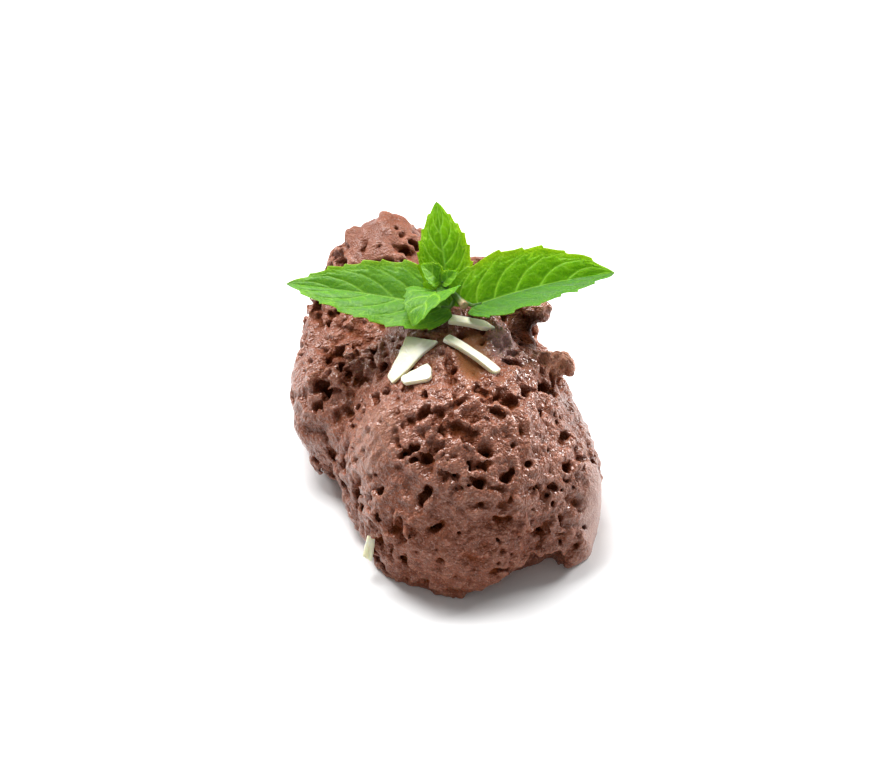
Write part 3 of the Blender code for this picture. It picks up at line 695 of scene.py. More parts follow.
def mousse_finish():
    """Moist, aerated chocolate: brown with a painted pink highlight on its knobs, painted shade, dark and red,
    in its hollows, and wet.

    The smallest bubbles are drawn here: open pores as dents with painted shade in them, shut ones under the
    skin as pale specks that are partly painted glints.
    """
    f = Finish("chocolate_mousse")
    depth, hollow = f.attribute("depth"), f.attribute("hollow")
    wet, wiped, smear, painted_sheen_wall = (f.attribute(name) for name in ("wet", "wiped", "smear", "painted_sheen_wall"))
    shaded, front, lump, back = (f.attribute(name) for name in ("shaded", "front", "lump", "back"))
    calm = f.math("MULTIPLY_ADD", wiped, -0.75, 1.0)
    calm = f.math("MULTIPLY_ADD", smear, -0.35, calm)
    calm = f.math("MULTIPLY_ADD", back, -0.6, calm, clamp=True)
    calm = f.math("MULTIPLY_ADD", wet, -0.95, calm, clamp=True)
    mottle = f.ramp(f.noise(420.0, 4.0), 0.38, 0.62)
    patches = f.ramp(f.noise(75.0, 3.0), 0.35, 0.65)
    brown = f.mix(mottle, (0.158, 0.038, 0.012), (0.250, 0.075, 0.036))
    brown = f.mix(f.math("MULTIPLY", patches, 0.5), brown, (0.240, 0.060, 0.020))
    # The smear is paler and pinker: partly its smoothed film, partly painted sheen.
    brown = f.mix(f.math("MULTIPLY", smear, 0.6), brown, (0.340, 0.160, 0.105))
    # The front is darkened: painted shade, since the lamps stand above and behind.
    brown = f.mix(f.math("MULTIPLY", front, 0.6), brown, (0.175, 0.037, 0.010))
    # The back mass is darkened: painted shade, to temper the lamps behind it.
    brown = f.mix(f.math("MULTIPLY", back, 0.65), brown, (0.135, 0.041, 0.020))
    # The torn lump at the right is lightened: painted light on a face that lies in shade.
    brown = f.mix(f.math("MULTIPLY", lump, 0.85), brown, (0.700, 0.320, 0.190))
    # Knobs that stand proud get a paler, pinker colour: a painted highlight.
    painted_knob_highlight = f.ramp(hollow, 0.05, -0.5)
    brown = f.mix(f.math("MULTIPLY", painted_knob_highlight, 0.5), brown, (0.420, 0.178, 0.112))
    # The wiped band at the right is paler: partly its smoothed skin, partly painted light from the right.
    brown = f.mix(f.math("MULTIPLY", wiped, 0.8), brown, (0.350, 0.190, 0.145))
    crumbs = f.add("ShaderNodeTexVoronoi", {"Scale": 1000.0, "Vector": f.warped(1100.0, 0.0007)}, feature="SMOOTH_F1")
    knob = f.ramp(crumbs.outputs["Distance"], 0.62, 0.08)
    # Creases between the tiny knobs are darkened: painted shade.
    crease = f.math("MULTIPLY", f.ramp(knob, 0.4, 0.0), calm)
    brown = f.mix(f.math("MULTIPLY", crease, 0.5), brown, (0.130, 0.030, 0.010))
    # Pale specks: partly shut bubbles under the skin, partly painted glints.
    speck_and_glint = f.math("MULTIPLY", f.ramp(f.noise(1500.0, 2.0, 0.5), 0.55, 0.70), calm)
    brown = f.mix(f.math("MULTIPLY", speck_and_glint, 0.45), brown, (0.540, 0.285, 0.210))
    # Hollows are darkened to a deep red-brown: painted shade; the same mask lessens the shine there.
    sunk_shade = f.ramp(hollow, 0.02, 0.6)
    brown = f.mix(f.math("MULTIPLY", sunk_shade, 0.8), brown, (0.122, 0.030, 0.007))
    # Places sunk deep below the smooth mound are darkened further: painted shade.
    deep = f.ramp(depth, 0.8, 3.0)
    brown = f.mix(f.math("MULTIPLY", deep, 0.7), brown, (0.060, 0.012, 0.003))
    brown = f.mix(shaded, brown, (0.040, 0.011, 0.005))
    # The ridge's wall is paled to mauve: painted sheen.
    brown = f.mix(f.math("MULTIPLY", painted_sheen_wall, 0.6), brown, (0.450, 0.265, 0.245))
    brown = f.mix(f.math("MULTIPLY", wet, 0.9), brown, (0.210, 0.085, 0.031))
    film = f.math("MULTIPLY_ADD", f.noise(1300.0, 1.0, 0.4), 1.0, f.math("MULTIPLY", knob, 0.45))
    film = f.math("MULTIPLY", film, calm)
    grain = f.math("MULTIPLY_ADD", f.noise(2600.0, 1.0), 0.35, film)
    rough = f.math("MULTIPLY_ADD", f.noise(500.0, 3.0), 0.3, 0.28)
    shine = f.math("MULTIPLY_ADD", deep, -0.25, 0.28)
    shine = f.math("MULTIPLY_ADD", wet, -0.2, shine, clamp=True)
    shine = f.math("MULTIPLY_ADD", front, -0.12, shine, clamp=True)
    shine = f.math("MULTIPLY_ADD", shaded, -0.22, shine, clamp=True)
    shine = f.math("MULTIPLY_ADD", sunk_shade, -0.1, shine, clamp=True)
    gloss = f.math("MULTIPLY_ADD", wet, -0.6, 0.62, clamp=True)
    gloss = f.math("MULTIPLY_ADD", front, -0.35, gloss, clamp=True)
    gloss = f.math("MULTIPLY", gloss, f.ramp(depth, 1.5, 0.5))
    gloss = f.math("MULTIPLY_ADD", shaded, -0.6, gloss, clamp=True)
    gloss = f.math("MULTIPLY_ADD", back, -0.5, gloss, clamp=True)
    gloss = f.math("MULTIPLY_ADD", sunk_shade, -0.3, gloss, clamp=True)
    f.shade(Base_Color=brown, Roughness=rough, Normal=f.bump(grain, 0.00060), Specular_IOR_Level=shine)
    f.shade(Subsurface_Weight=0.2, Subsurface_Radius=(1.0, 0.3, 0.1), Subsurface_Scale=0.0007)
    f.shade(Coat_Weight=gloss, Coat_Roughness=0.11, Coat_Normal=f.bump(film, 0.00042))
    return f.material


def leaf_finish():
    """Fresh mint: green blade, thin pale veins, a painted cool sheen on some faces, painted light coming through others
    and painted shade on some.
    """
    f = Finish("mint_leaf")
    vein, margin, sheen, glow, tip = (f.attribute(name) for name in ("vein", "margin", "sheen", "glow", "tip"))
    mottle = f.ramp(f.noise(350.0, 4.0), 0.35, 0.65)
    green = f.mix(mottle, (0.055, 0.205, 0.000), (0.095, 0.275, 0.001))
    # Where glow is up, the green is lighter and yellower: painted light coming through the blade.
    green = f.mix(glow, green, f.mix(mottle, (0.108, 0.300, 0.000), (0.178, 0.410, 0.000)))
    # Where sheen is up, the green turns cool and bluish: a painted sheen.
    green = f.mix(f.math("MULTIPLY", sheen, 0.8), green, (0.070, 0.197, 0.027))
    netted = f.add("ShaderNodeTexVoronoi", {"Scale": 400.0, "Vector": f.place()}, feature="DISTANCE_TO_EDGE")
    net = f.ramp(netted.outputs["Distance"], 0.06, 0.0)
    green = f.mix(f.math("MULTIPLY", net, 0.15), green, (0.200, 0.420, 0.030))
    # Where glow is below zero, the green darkens: painted shade.
    green = f.mix(f.math("MULTIPLY", glow, -0.5), green, (0.020, 0.060, 0.004))
    # Veins show paler as far as painted light comes through, and less under the painted sheen.
    lit_vein = f.math("MULTIPLY", vein, f.math("MULTIPLY_ADD", glow, 0.5, 0.34))
    lit_vein = f.math("MULTIPLY", lit_vein, f.math("MULTIPLY_ADD", sheen, -0.4, 1.0))
    green = f.mix(lit_vein, green, (0.370, 0.660, 0.070))
    green = f.mix(f.math("MULTIPLY", margin, 0.45), green, (0.060, 0.200, 0.012))
    green = f.mix(f.math("MULTIPLY", tip, 0.7), green, (0.060, 0.110, 0.030))
    cells = f.add("ShaderNodeTexVoronoi", {"Scale": 1100.0, "Vector": f.place()}, feature="SMOOTH_F1")
    grain = f.math("ADD", f.math("MULTIPLY", cells.outputs["Distance"], 0.7), f.noise(1600.0, 2.0))
    f.shade(Base_Color=green, Roughness=f.math("MULTIPLY_ADD", mottle, 0.12, 0.38))
    f.shade(Normal=f.bump(grain, 0.00014, 0.9), Specular_IOR_Level=0.16)
    f.shade(Subsurface_Weight=0.5, Subsurface_Radius=(0.8, 1.0, 0.05), Subsurface_Scale=0.0015)
    return f.material


def stem_finish():
    """Green stalk, partly darkened by painted shade, with a tan, slightly pink cut end."""
    f = Finish("mint_stem")
    cut_end = f.attribute("cut_end")
    streak = f.ramp(f.noise(700.0, 3.0), 0.3, 0.7)
    # The stalk's green is dark: partly its own colour, partly painted shade.
    green = f.mix(streak, (0.045, 0.130, 0.006), (0.085, 0.190, 0.014))
    tan = f.mix(streak, (0.480, 0.330, 0.180), (0.640, 0.470, 0.300))
    f.shade(Base_Color=f.mix(cut_end, green, tan), Roughness=f.math("MULTIPLY_ADD", streak, 0.15, 0.4))
    f.shade(Normal=f.bump(f.noise(1800.0, 2.0), 0.0001), Subsurface_Weight=0.2, Subsurface_Scale=0.001)
    return f.material


def chocolate_finish():
    """White chocolate: warm cream, waxy, a little translucent, with faint scrape marks."""
    f = Finish("white_chocolate")
    tone = f.ramp(f.noise(180.0, 3.0), 0.3, 0.7)
    cream = f.mix(tone, (0.940, 0.915, 0.610), (0.970, 0.960, 0.770))
    f.shade(Base_Color=cream, Roughness=f.math("MULTIPLY_ADD", f.noise(900.0, 2.0), 0.2, 0.3))
    f.shade(Normal=f.bump(f.noise(700.0, 3.0), 0.00018, 0.7))
    f.shade(Subsurface_Weight=0.3, Subsurface_Radius=(1.0, 0.8, 0.4), Subsurface_Scale=0.0012)
    return f.material


# ---------------------------------------------------------------- the mousse


def make_mousse(seats):
    """The mound's skin, drawn as the zero level of a field on a fine grid.

    The field is the distance from the smooth lobes, less lumps and streaks, with burst bubbles cut out and
    the seats of the shavings levelled. It is made this way, not as one sheet over two parameters, because
    the bubbles undercut the skin and run into each other.
    """
    counts = np.ceil((HIGH - LOW) / COARSE).astype(int) + 2
    lines = [LOW[k] + COARSE * np.arange(counts[k]) for k in range(3)]
    knots = np.stack(np.meshgrid(*lines, indexing="ij"), -1)
    smooth = spread(mound(knots).astype(np.float32), COARSE)
    regions = {name: spread(w.astype(np.float32), COARSE) for name, w in region_fields(knots).items()}
    field = roughen(smooth.copy(), regions)
    warp = [0.42 * noise(2.6, 50 + k) + 0.22 * noise(1.2, 60 + k) for k in range(3)]
    clusters = noise(7.0, 33)
    place_hollows(field, warp)
    for kind in BUBBLES:
        scatter_bubbles(field, warp, clusters, *kind)
    field = np.maximum(soften(field), soften(field, THREAD_PASSES) - THREAD_LEVEL)
    field = pebble(field, regions)
    for seat in seats:
        level_seat(field, seat)
    field = np.maximum(field, -AXES[2].reshape(1, 1, -1).astype(np.float32))
    points, faces = largest_piece(*surface_net(field))
    points[:, 2] = np.maximum(points[:, 2], 0.0)
    here = region_fields(points)
    attributes = {name: here[name] for name in REGIONS_SHOWN}
    # depth and hollow feed the finish's painted shade in hollows and its painted highlight on knobs.
    attributes["depth"] = -value_at(smooth, points)
    attributes["hollow"] = -value_at(soften(field, HOLLOW_PASSES), points)
    mousse = put_into_blender("mousse_skin", points, faces, mousse_finish(), attributes)
    thin = mousse.modifiers.new("even_out", "DECIMATE")
    thin.ratio = min(1.0, MOUSSE_TRIANGLES / (2.0 * len(faces)))
    keep_thinned(mousse)
    return dress(mousse, ["mousse"])


def keep_thinned(obj):
    """Keep the piece as its modifier leaves it, less the pairs of faces laid back to back on the same points."""
    bpy.context.view_layer.update()
    thinned = bpy.data.meshes.new_from_object(obj.evaluated_get(bpy.context.evaluated_depsgraph_get()))
    first, sides = (np.empty(len(thinned.polygons), np.int32) for _ in range(2))
    thinned.polygons.foreach_get("loop_start", first)
    thinned.polygons.foreach_get("loop_total", sides)
    corners = np.empty(len(thinned.loops), np.int32)
    thinned.loops.foreach_get("vertex_index", corners)
    triangles = np.flatnonzero(sides == 3)
    shared = np.sort(corners[first[triangles][:, None] + np.arange(3)], axis=1)
    _, which, times = np.unique(shared, axis=0, return_inverse=True, return_counts=True)
    doubled = triangles[times[which.ravel()] > 1]
    work = bmesh.new()
    work.from_mesh(thinned)
    work.faces.ensure_lookup_table()
    bmesh.ops.delete(work, geom=[work.faces[i] for i in doubled], context="FACES")
    work.to_mesh(thinned)
    work.free()
    obj.modifiers.clear()
    obj.data = thinned


def level_seat(field, seat):
    """Clears the mousse out of a shaving's own space, given as a box: centre, three axes and half sizes."""
    centre, axes, half = seat
    part = window(centre, float(np.linalg.norm(half)) + 1.0)
    grids = np.ix_(*[AXES[k][part[k]] - centre[k] for k in range(3)])
    outside = [np.abs(sum(grids[k] * axes[i][k] for k in range(3))) - half[i] for i in range(3)]
    field[part] = cut(field[part], np.maximum.reduce(outside), 0.3)


# ---------------------------------------------------------------- the mint sprig

# Where each blade starts, its length and width, where it points (from +X towards +Y, and up), how far it
# bends down by its tip, how it leans, how far its two halves fold up, and its outline.
# sheen and glow give each half, left then right, a painted sheen and painted light coming through it; a glow below zero
# paints shade.
LEAVES = {
    "leaf_right": dict(
        base=(6.0, 9.1, 47.9), length=33.9, width=20.5, heading=8, pitch=19, bend=17, lean=8,
        fold_left=42, fold_right=24, shoulder=0.37, taper=0.86, teeth=7, veins=6, sweep=(0.20, 0.22), lobe=(8.0, 2.0), pucker=0.36, sheen=(0.0, 1.25), glow=(0.5, -0.4), bite=(0.8, 1.6),
    ),
    "leaf_left": dict(
        base=(0.3, 9.0, 47.3), length=39.2, width=18.4, heading=170, pitch=7, bend=8, lean=-10,
        fold_left=4, fold_right=28, shoulder=0.38, taper=0.92, teeth=9, veins=6, sweep=(0.29, 0.14), lobe=(1.4, 1.4), pucker=0.26, sheen=(0.7, 0.6), glow=(0.25, 0.25), bite=(1.0, 1.0),
    ),
    "leaf_back": dict(
        base=(-0.3, 14.0, 50.7), length=19.3, width=13.0, heading=103, pitch=62, bend=12, lean=0,
        fold_left=12, fold_right=12, shoulder=0.42, taper=0.95, teeth=7, veins=5, sweep=(0.32, 0.14), lobe=(4.6, 4.6), pucker=0.20, sheen=(0.0, 0.0), glow=(1.0, 1.0), bite=(1.0, 1.0),
    ),
    "leaf_front": dict(
        base=(-1.7, 9.8, 51.5), length=13.2, width=14.4, heading=236, pitch=32, bend=92, lean=24,
        fold_left=10, fold_right=16, shoulder=0.38, taper=0.9, teeth=6, veins=4, sweep=(0.24, 0.12), lobe=(1.0, 1.0), pucker=0.22, sheen=(0.8, 0.8), glow=(0.4, 0.4), bite=(1.0, 1.0),
    ),
    "leaf_bud_left": dict(
        base=(-1.9, 12.3, 52.1), length=6.8, width=5.8, heading=180, pitch=60, bend=20, lean=-35,
        fold_left=20, fold_right=20, shoulder=0.55, taper=0.85, teeth=4, veins=3, sweep=(0.20, 0.10), lobe=(0.3, 0.3), pucker=0.20, sheen=(0.2, 0.2), glow=(0.4, 0.4), bite=(1.0, 1.0),
    ),
    "leaf_bud_right": dict(
        base=(-1.5, 12.2, 51.8), length=5.0, width=4.0, heading=8, pitch=48, bend=14, lean=40,
        fold_left=25, fold_right=30, shoulder=0.55, taper=0.85, teeth=4, veins=3, sweep=(0.20, 0.10), lobe=(0.3, 0.3), pucker=0.20, sheen=(0.3, 0.3), glow=(0.4, 0.4), bite=(1.0, 1.0),
    ),
}
LEAF_ROWS = 200
LEAF_COLUMNS = 168
BUD_ROWS = 90
BUD_COLUMNS = 72
BLADE_THICKNESS = 0.34
MARGIN_THICKNESS = 0.10
PETIOLE_HALF_WIDTH = 0.55
TOOTH_DEPTH = 0.85
VEIN_LOOP = 0.80  # how far out the side veins run into one another
VEIN_WIDTH = 0.19


def leaf_half_width(share, leaf):
    """Half width along the midrib: share^shoulder times (1 - share)^taper, as much as the width at its widest."""
    shoulder, taper = leaf["shoulder"], leaf["taper"]
    widest = shoulder / (shoulder + taper)
    peak = widest**shoulder * (1.0 - widest) ** taper
    plain = leaf["width"] / 2.0 * share**shoulder * (1.0 - share) ** taper / peak
    return np.maximum(plain, PETIOLE_HALF_WIDTH * (1.0 - share))


def leaf_veins(share, out, half, leaf):
    """Nearness to a vein (1 on it), the swell between veins, and nearness to the midrib, over a blade.

    Side veins leave the midrib closer together near its base, and sweep towards the tip: each is a line of
    equal share^0.75 - a * out - b * out^2.6, a and b being the leaf's sweep, and near the margin it runs
    into the next one along a scalloped loop. Fine veins cross from each to the next at uneven steps.
    The swell is highest midway between two veins and between midrib and loop.
    """
    left_half = out > 0.0
    out = np.abs(out)
    evenly, late = leaf["sweep"]
    phase = (share**0.75 - evenly * out - late * out**2.6) * leaf["veins"] + 0.35 + 0.22 * left_half
    number = np.floor(phase)
    part = phase - number
    off_side = np.minimum(part, 1.0 - part) / leaf["veins"] * leaf["length"] * 0.70
    loop = VEIN_LOOP + 0.08 * np.cos(2.0 * math.pi * part)
    off_loop = np.abs(out - loop) * half
    off_mid = out * half
    size = min(1.0, leaf["length"] / 18.0)
    room = np.clip(half / (2.5 * size), 0.0, 1.0)
    side = np.exp(-((off_side / (VEIN_WIDTH * (1.25 - 0.5 * out))) ** 2)) * np.clip((0.93 - out) / 0.1, 0.0, 1.0)
    looped = 0.7 * np.exp(-((off_loop / (0.75 * VEIN_WIDTH)) ** 2))
    middle = np.exp(-((off_mid / (0.36 * size * (1.15 - share))) ** 2))
    crossing = out * 4.6 + 0.9 * np.sin(number * 2.4 + 1.0) + 0.35 * np.sin(part * 5.0 + number)
    off_cross = np.abs(crossing - np.round(crossing)) / 4.6 * half
    crossed = 0.42 * np.exp(-((off_cross / (0.75 * VEIN_WIDTH)) ** 2)) * np.clip(out / 0.12 - 0.5, 0.0, 1.0)
    vein = np.maximum.reduce([side * room, looped * room, crossed * room, middle])
    swell_between = np.sin(math.pi * part) ** 0.7 * np.sin(math.pi * np.clip(out / loop, 0.0, 1.0)) ** 0.7
    return vein, swell_between * room * size, middle


def leaf_surface(leaf):
    """Both faces of a blade as closed rings round the midrib, one ring for each station along it.

    The midrib leaves its base along heading and pitch and bends down evenly. Each ring runs out from the
    midrib to both margins by the half width, folded up, with the margin cut into teeth that point at the tip,
    and near the base it is swept back into two lobes.
    The upper face swells between the veins, and the lower face lies a thickness below it.
    """
    large = leaf["length"] > 10.0
    rows, columns = (LEAF_ROWS, LEAF_COLUMNS) if large else (BUD_ROWS, BUD_COLUMNS)
    share = np.linspace(0.0, 1.0, rows)
    pitch = np.radians(leaf["pitch"] - leaf["bend"] * share)
    heading = math.radians(leaf["heading"])
    ahead = np.stack([np.cos(pitch) * math.cos(heading), np.cos(pitch) * math.sin(heading), np.sin(pitch)], -1)
    steps = (ahead[1:] + ahead[:-1]) / 2.0 * leaf["length"] / (rows - 1)
    midrib = np.array(leaf["base"]) + np.vstack([np.zeros(3), np.cumsum(steps, axis=0)])
    level = np.array((-math.sin(heading), math.cos(heading), 0.0))
    upright = np.cross(ahead, level)
    lean = math.radians(leaf["lean"])
    side = level * math.cos(lean) + upright * math.sin(lean)
    top = np.cross(ahead, side)

    out = np.linspace(-1.0, 1.0, columns // 2)
    half = leaf_half_width(share, leaf)[:, None]
    u, v = np.meshgrid(share, out, indexing="ij")
    saw = (u * leaf["teeth"] + 0.15 * np.sin(9.0 * u + 2.0 * (v > 0.0))) % 1.0
    tooth = (saw**1.8 * np.clip((1.0 - saw) / 0.04, 0.0, 1.0) - 0.35) * TOOTH_DEPTH * math.sqrt(leaf["width"] / 20.0)
    tooth = tooth * np.where(v > 0.0, *leaf["bite"])
    reach = half * v + tooth * np.clip(half / 2.5, 0.0, 1.0) * v**3
    fold = np.radians(np.where(v > 0.0, leaf["fold_left"], leaf["fold_right"]))
    vein, swell_between, mid = leaf_veins(u, v, half, leaf)
    slack = np.clip(half / 5.0, 0.0, 1.0)
    wave = 0.35 * np.sin(2.0 * math.pi * (u * leaf["length"] / 9.0 + 0.2 * (v > 0))) * np.abs(v) ** 2.5
    relief = slack * (leaf["pucker"] * swell_between - 0.09 * vein - 0.08 * mid + wave)
    soft_fold = np.sqrt((reach * np.sin(fold)) ** 2 + 0.09) - 0.3
    lift = soft_fold + relief
    blade = midrib[:, None] + side[:, None] * (reach * np.cos(fold))[..., None] + top[:, None] * lift[..., None]
    back = np.where(v > 0.0, *leaf["lobe"]) * (1.0 - u) ** 6 * np.abs(v) ** 1.3 * np.clip(half / 2.0, 0.0, 1.0)
    blade = blade - ahead[:, None] * back[..., None]

    along = np.gradient(blade, axis=0)
    across = np.gradient(blade, axis=1)
    normal = np.cross(along, across)
    normal /= np.maximum(np.linalg.norm(normal, axis=-1, keepdims=True), 1e-9)
    thick = MARGIN_THICKNESS + (BLADE_THICKNESS - MARGIN_THICKNESS) * (1.0 - np.abs(v) ** 4)
    thick = thick + 0.5 * np.exp(-((reach / 0.6) ** 2)) * (1.0 - u)
    under = blade - normal * thick[..., None]
    rings = np.concatenate([blade, under[:, ::-1]], axis=1)
    marks = dict(vein=vein, margin=np.abs(v) ** 10)
    tip = np.clip((u - 0.95) / 0.05, 0.0, 1.0)
    marks["tip"] = tip if large else 0.0 * tip
    # sheen and glow carry each half's painted sheen and painted light coming through it, or painted shade below zero.
    for name in ("sheen", "glow"):
        marks[name] = np.where(v > 0.0, *leaf[name])
    marks = {k: np.concatenate([m, m[:, ::-1]], axis=1) for k, m in marks.items()}
    return rings, marks


def make_leaf(name, leaf, material):
    rings, marks = leaf_surface(leaf)
    rows, ring = rings.shape[:2]
    faces = closed_tube_faces(rows, ring)
    caps = []
    for row, flip in ((0, True), (rows - 1, False)):
        top = np.arange(ring // 2 - 1)
        strip = np.stack([top, top + 1, ring - 2 - top, ring - 1 - top], 1) + row * ring
        caps.append(strip if flip else strip[:, ::-1])
    faces = np.vstack([faces, *caps])
    piece = put_into_blender(f"{name}_blade", rings.reshape(-1, 3), faces, material, marks)
    return dress(piece, [name])


STEM_PATH = (
    (3.9, 8.2, 48.5), (3.0, 9.8, 48.6), (1.8, 11.4, 49.0), (0.4, 12.6, 49.9), (-0.9, 12.8, 51.2), (-1.4, 12.6, 52.4),
)
STEM_RADII = (1.0, 0.95, 0.95, 0.8, 0.6, 0.35)
STALKS = {
    "leaf_right": ((2.6, 10.6, 48.5), 0.6),
    "leaf_left": ((2.0, 11.7, 48.8), 0.6),
    "leaf_back": ((0.3, 12.6, 50.0), 0.5),
    "leaf_front": ((0.2, 12.5, 50.1), 0.5),
}
STEM_SIDES = 28


def tube_rings(path, radii, steps):
    """Round rings square to a smooth path through the given places, with the radius changing evenly."""
    path = np.array(path, float)
    knots = np.arange(len(path))
    at = np.linspace(0.0, len(path) - 1.0, steps)
    centres = np.stack([np.interp(at, knots, path[:, k]) for k in range(3)], -1)
    for _ in range(4):
        centres[1:-1] = (centres[:-2] + 2.0 * centres[1:-1] + centres[2:]) / 4.0
    radius = np.interp(at, knots, radii)
    ahead = np.gradient(centres, axis=0)
    ahead /= np.linalg.norm(ahead, axis=1, keepdims=True)
    across = np.cross(ahead, (0.0, 0.0, 1.0))
    across /= np.linalg.norm(across, axis=1, keepdims=True)
    over = np.cross(across, ahead)
    turn = np.linspace(0.0, 2.0 * math.pi, STEM_SIDES, endpoint=False)
    ridged = radius[:, None] * (1.0 + 0.07 * np.cos(4.0 * turn))
    ring = across[:, None] * np.cos(turn)[None, :, None] + over[:, None] * np.sin(turn)[None, :, None]
    return centres[:, None] + ring * ridged[..., None]


def closed_tube(rings):
    """Points and faces of a tube with its two ends drawn in to a point."""
    ends = [rings.mean(axis=1)[i][None, None].repeat(rings.shape[1], axis=1) for i in (0, -1)]
    inner = [(rings[[i]] + 2.0 * e) / 3.0 for i, e in zip((0, -1), ends)]
    rings = np.concatenate([ends[0], inner[0], rings, inner[1], ends[1]])
    return rings.reshape(-1, 3), closed_tube_faces(*rings.shape[:2])


def make_stem(material):
    """The stem from its cut end to the bud, and a stalk into the base of each leaf."""
    parts = [(STEM_PATH, STEM_RADII)]
    for name, (start, radius) in STALKS.items():
        leaf = LEAVES[name]
        heading, pitch = math.radians(leaf["heading"]), math.radians(leaf["pitch"])
        ahead = np.array((math.cos(pitch) * math.cos(heading), math.cos(pitch) * math.sin(heading), math.sin(pitch)))
        base = np.array(leaf["base"])
        parts.append(((start, base - ahead * 0.2, base + ahead * 2.0 - (0, 0, 0.15)), (radius, radius * 0.8, 0.2)))
    points, faces, cut_end, count = [], [], [], 0
    for number, (path, radii) in enumerate(parts):
        p, f = closed_tube(tube_rings(path, radii, 28))
        near_end = np.exp(-(np.linalg.norm(p - np.array(STEM_PATH[0]), axis=1) / 1.7) ** 4)
        points.append(p)
        faces.append(f + count)
        cut_end.append(near_end if number == 0 else 0.0 * near_end)
        count += len(p)
    marks = dict(cut_end=np.concatenate(cut_end))
    piece = put_into_blender("sprig_stem", np.vstack(points), np.vstack(faces), material, marks)
    weld_poles(piece)
    return dress(piece, ["stem"])


# ---------------------------------------------------------------- the white chocolate

# Shavings: their middle and the skin's outward direction there, the way the outline's +x points in plan,
# the outline's corners, thickness, how far the ends lift (droop if negative), and lean about their length.
SHAVINGS = {
    "shaving_long": dict(
        at=(5.4, -4.0), heading=-36, outline=((-7.4, -1.1), (7.2, -1.2), (7.5, 0.9), (-7.2, 1.0)),
        thickness=1.2, curl=-0.7, lean=-8, depth=0.3,
    ),
    "shaving_top": dict(
        at=(5.6, 5.2), heading=-9, outline=((-5.6, -1.2), (2.4, -1.3), (5.7, -0.3), (3.0, 1.2), (-5.4, 1.2)),
        thickness=1.2, curl=-0.4, lean=-6, depth=0.3,
    ),
    "shaving_left": dict(
        at=(-9.4, -1.8), heading=42,
        outline=((-7.0, -1.2), (-2.2, -2.4), (2.4, -2.7), (7.4, -3.8), (4.2, 4.0), (-0.8, 2.3), (-6.2, 1.1)),
        thickness=0.9, curl=-0.3, lean=6, depth=0.3,
    ),
    "shaving_small": dict(
        at=(-7.0, -8.0), heading=-3,
        outline=((-3.9, -0.4), (-2.9, -1.8), (2.6, -2.5), (3.7, -1.9), (3.5, 1.6), (2.5, 3.4), (-3.8, 0.8)),
        thickness=1.0, curl=0.0, lean=0, depth=0.3,
    ),
}
CHIP = dict(outline=((-3.0, -1.0), (2.6, -1.3), (3.2, 0.6), (-1.8, 1.4)), thickness=0.9, curl=0.0)
CHIP_CENTRE = (-18.3, -30.0, 7.2)
CHIP_TURN = (12.0, -60.0, 80.0)  # about X, Y and Z
FLAKE_ROUND = 96
FLAKE_ROWS = 14


def skin_above(x, y):
    """The point of the mound straight above a place in plan, by halving, and the outward normal there."""
    near_z, far_z = 5.0, 85.0
    for _ in range(26):
        middle = (near_z + far_z) / 2.0
        if lobes(np.array([[x, y, middle]]))[0] < 0.0:
            near_z = middle
        else:
            far_z = middle
    point = np.array((x, y, near_z))
    step = 0.4 * np.eye(3)
    slope = lobes(point + step) - lobes(point - step)
    return point, slope / np.linalg.norm(slope)


def flake_axes(flake):
    """A flake's middle on the mound and its three directions: along, across and out of the skin."""
    point, up = skin_above(*flake["at"])
    heading = math.radians(flake["heading"])
    ahead = np.array((math.cos(heading), math.sin(heading), 0.0))
    ahead -= up * (ahead @ up)
    ahead /= np.linalg.norm(ahead)
    left = np.cross(up, ahead)
    lean = math.radians(flake["lean"])
    across = left * math.cos(lean) + up * math.sin(lean)
    return point - up * flake["depth"], np.stack([ahead, across, np.cross(ahead, across)])


def chip_axes():
    """The directions of the chip at the foot: turned about X, then Y, then Z."""
    turns = np.eye(3)
    for k, degrees in enumerate(CHIP_TURN):
        c, s = math.cos(math.radians(degrees)), math.sin(math.radians(degrees))
        i, j = (k + 1) % 3, (k + 2) % 3
        turn = np.eye(3)
        turn[i, i], turn[j, j], turn[i, j], turn[j, i] = c, c, -s, s
        turns = turn @ turns
    return np.array(CHIP_CENTRE), turns.T


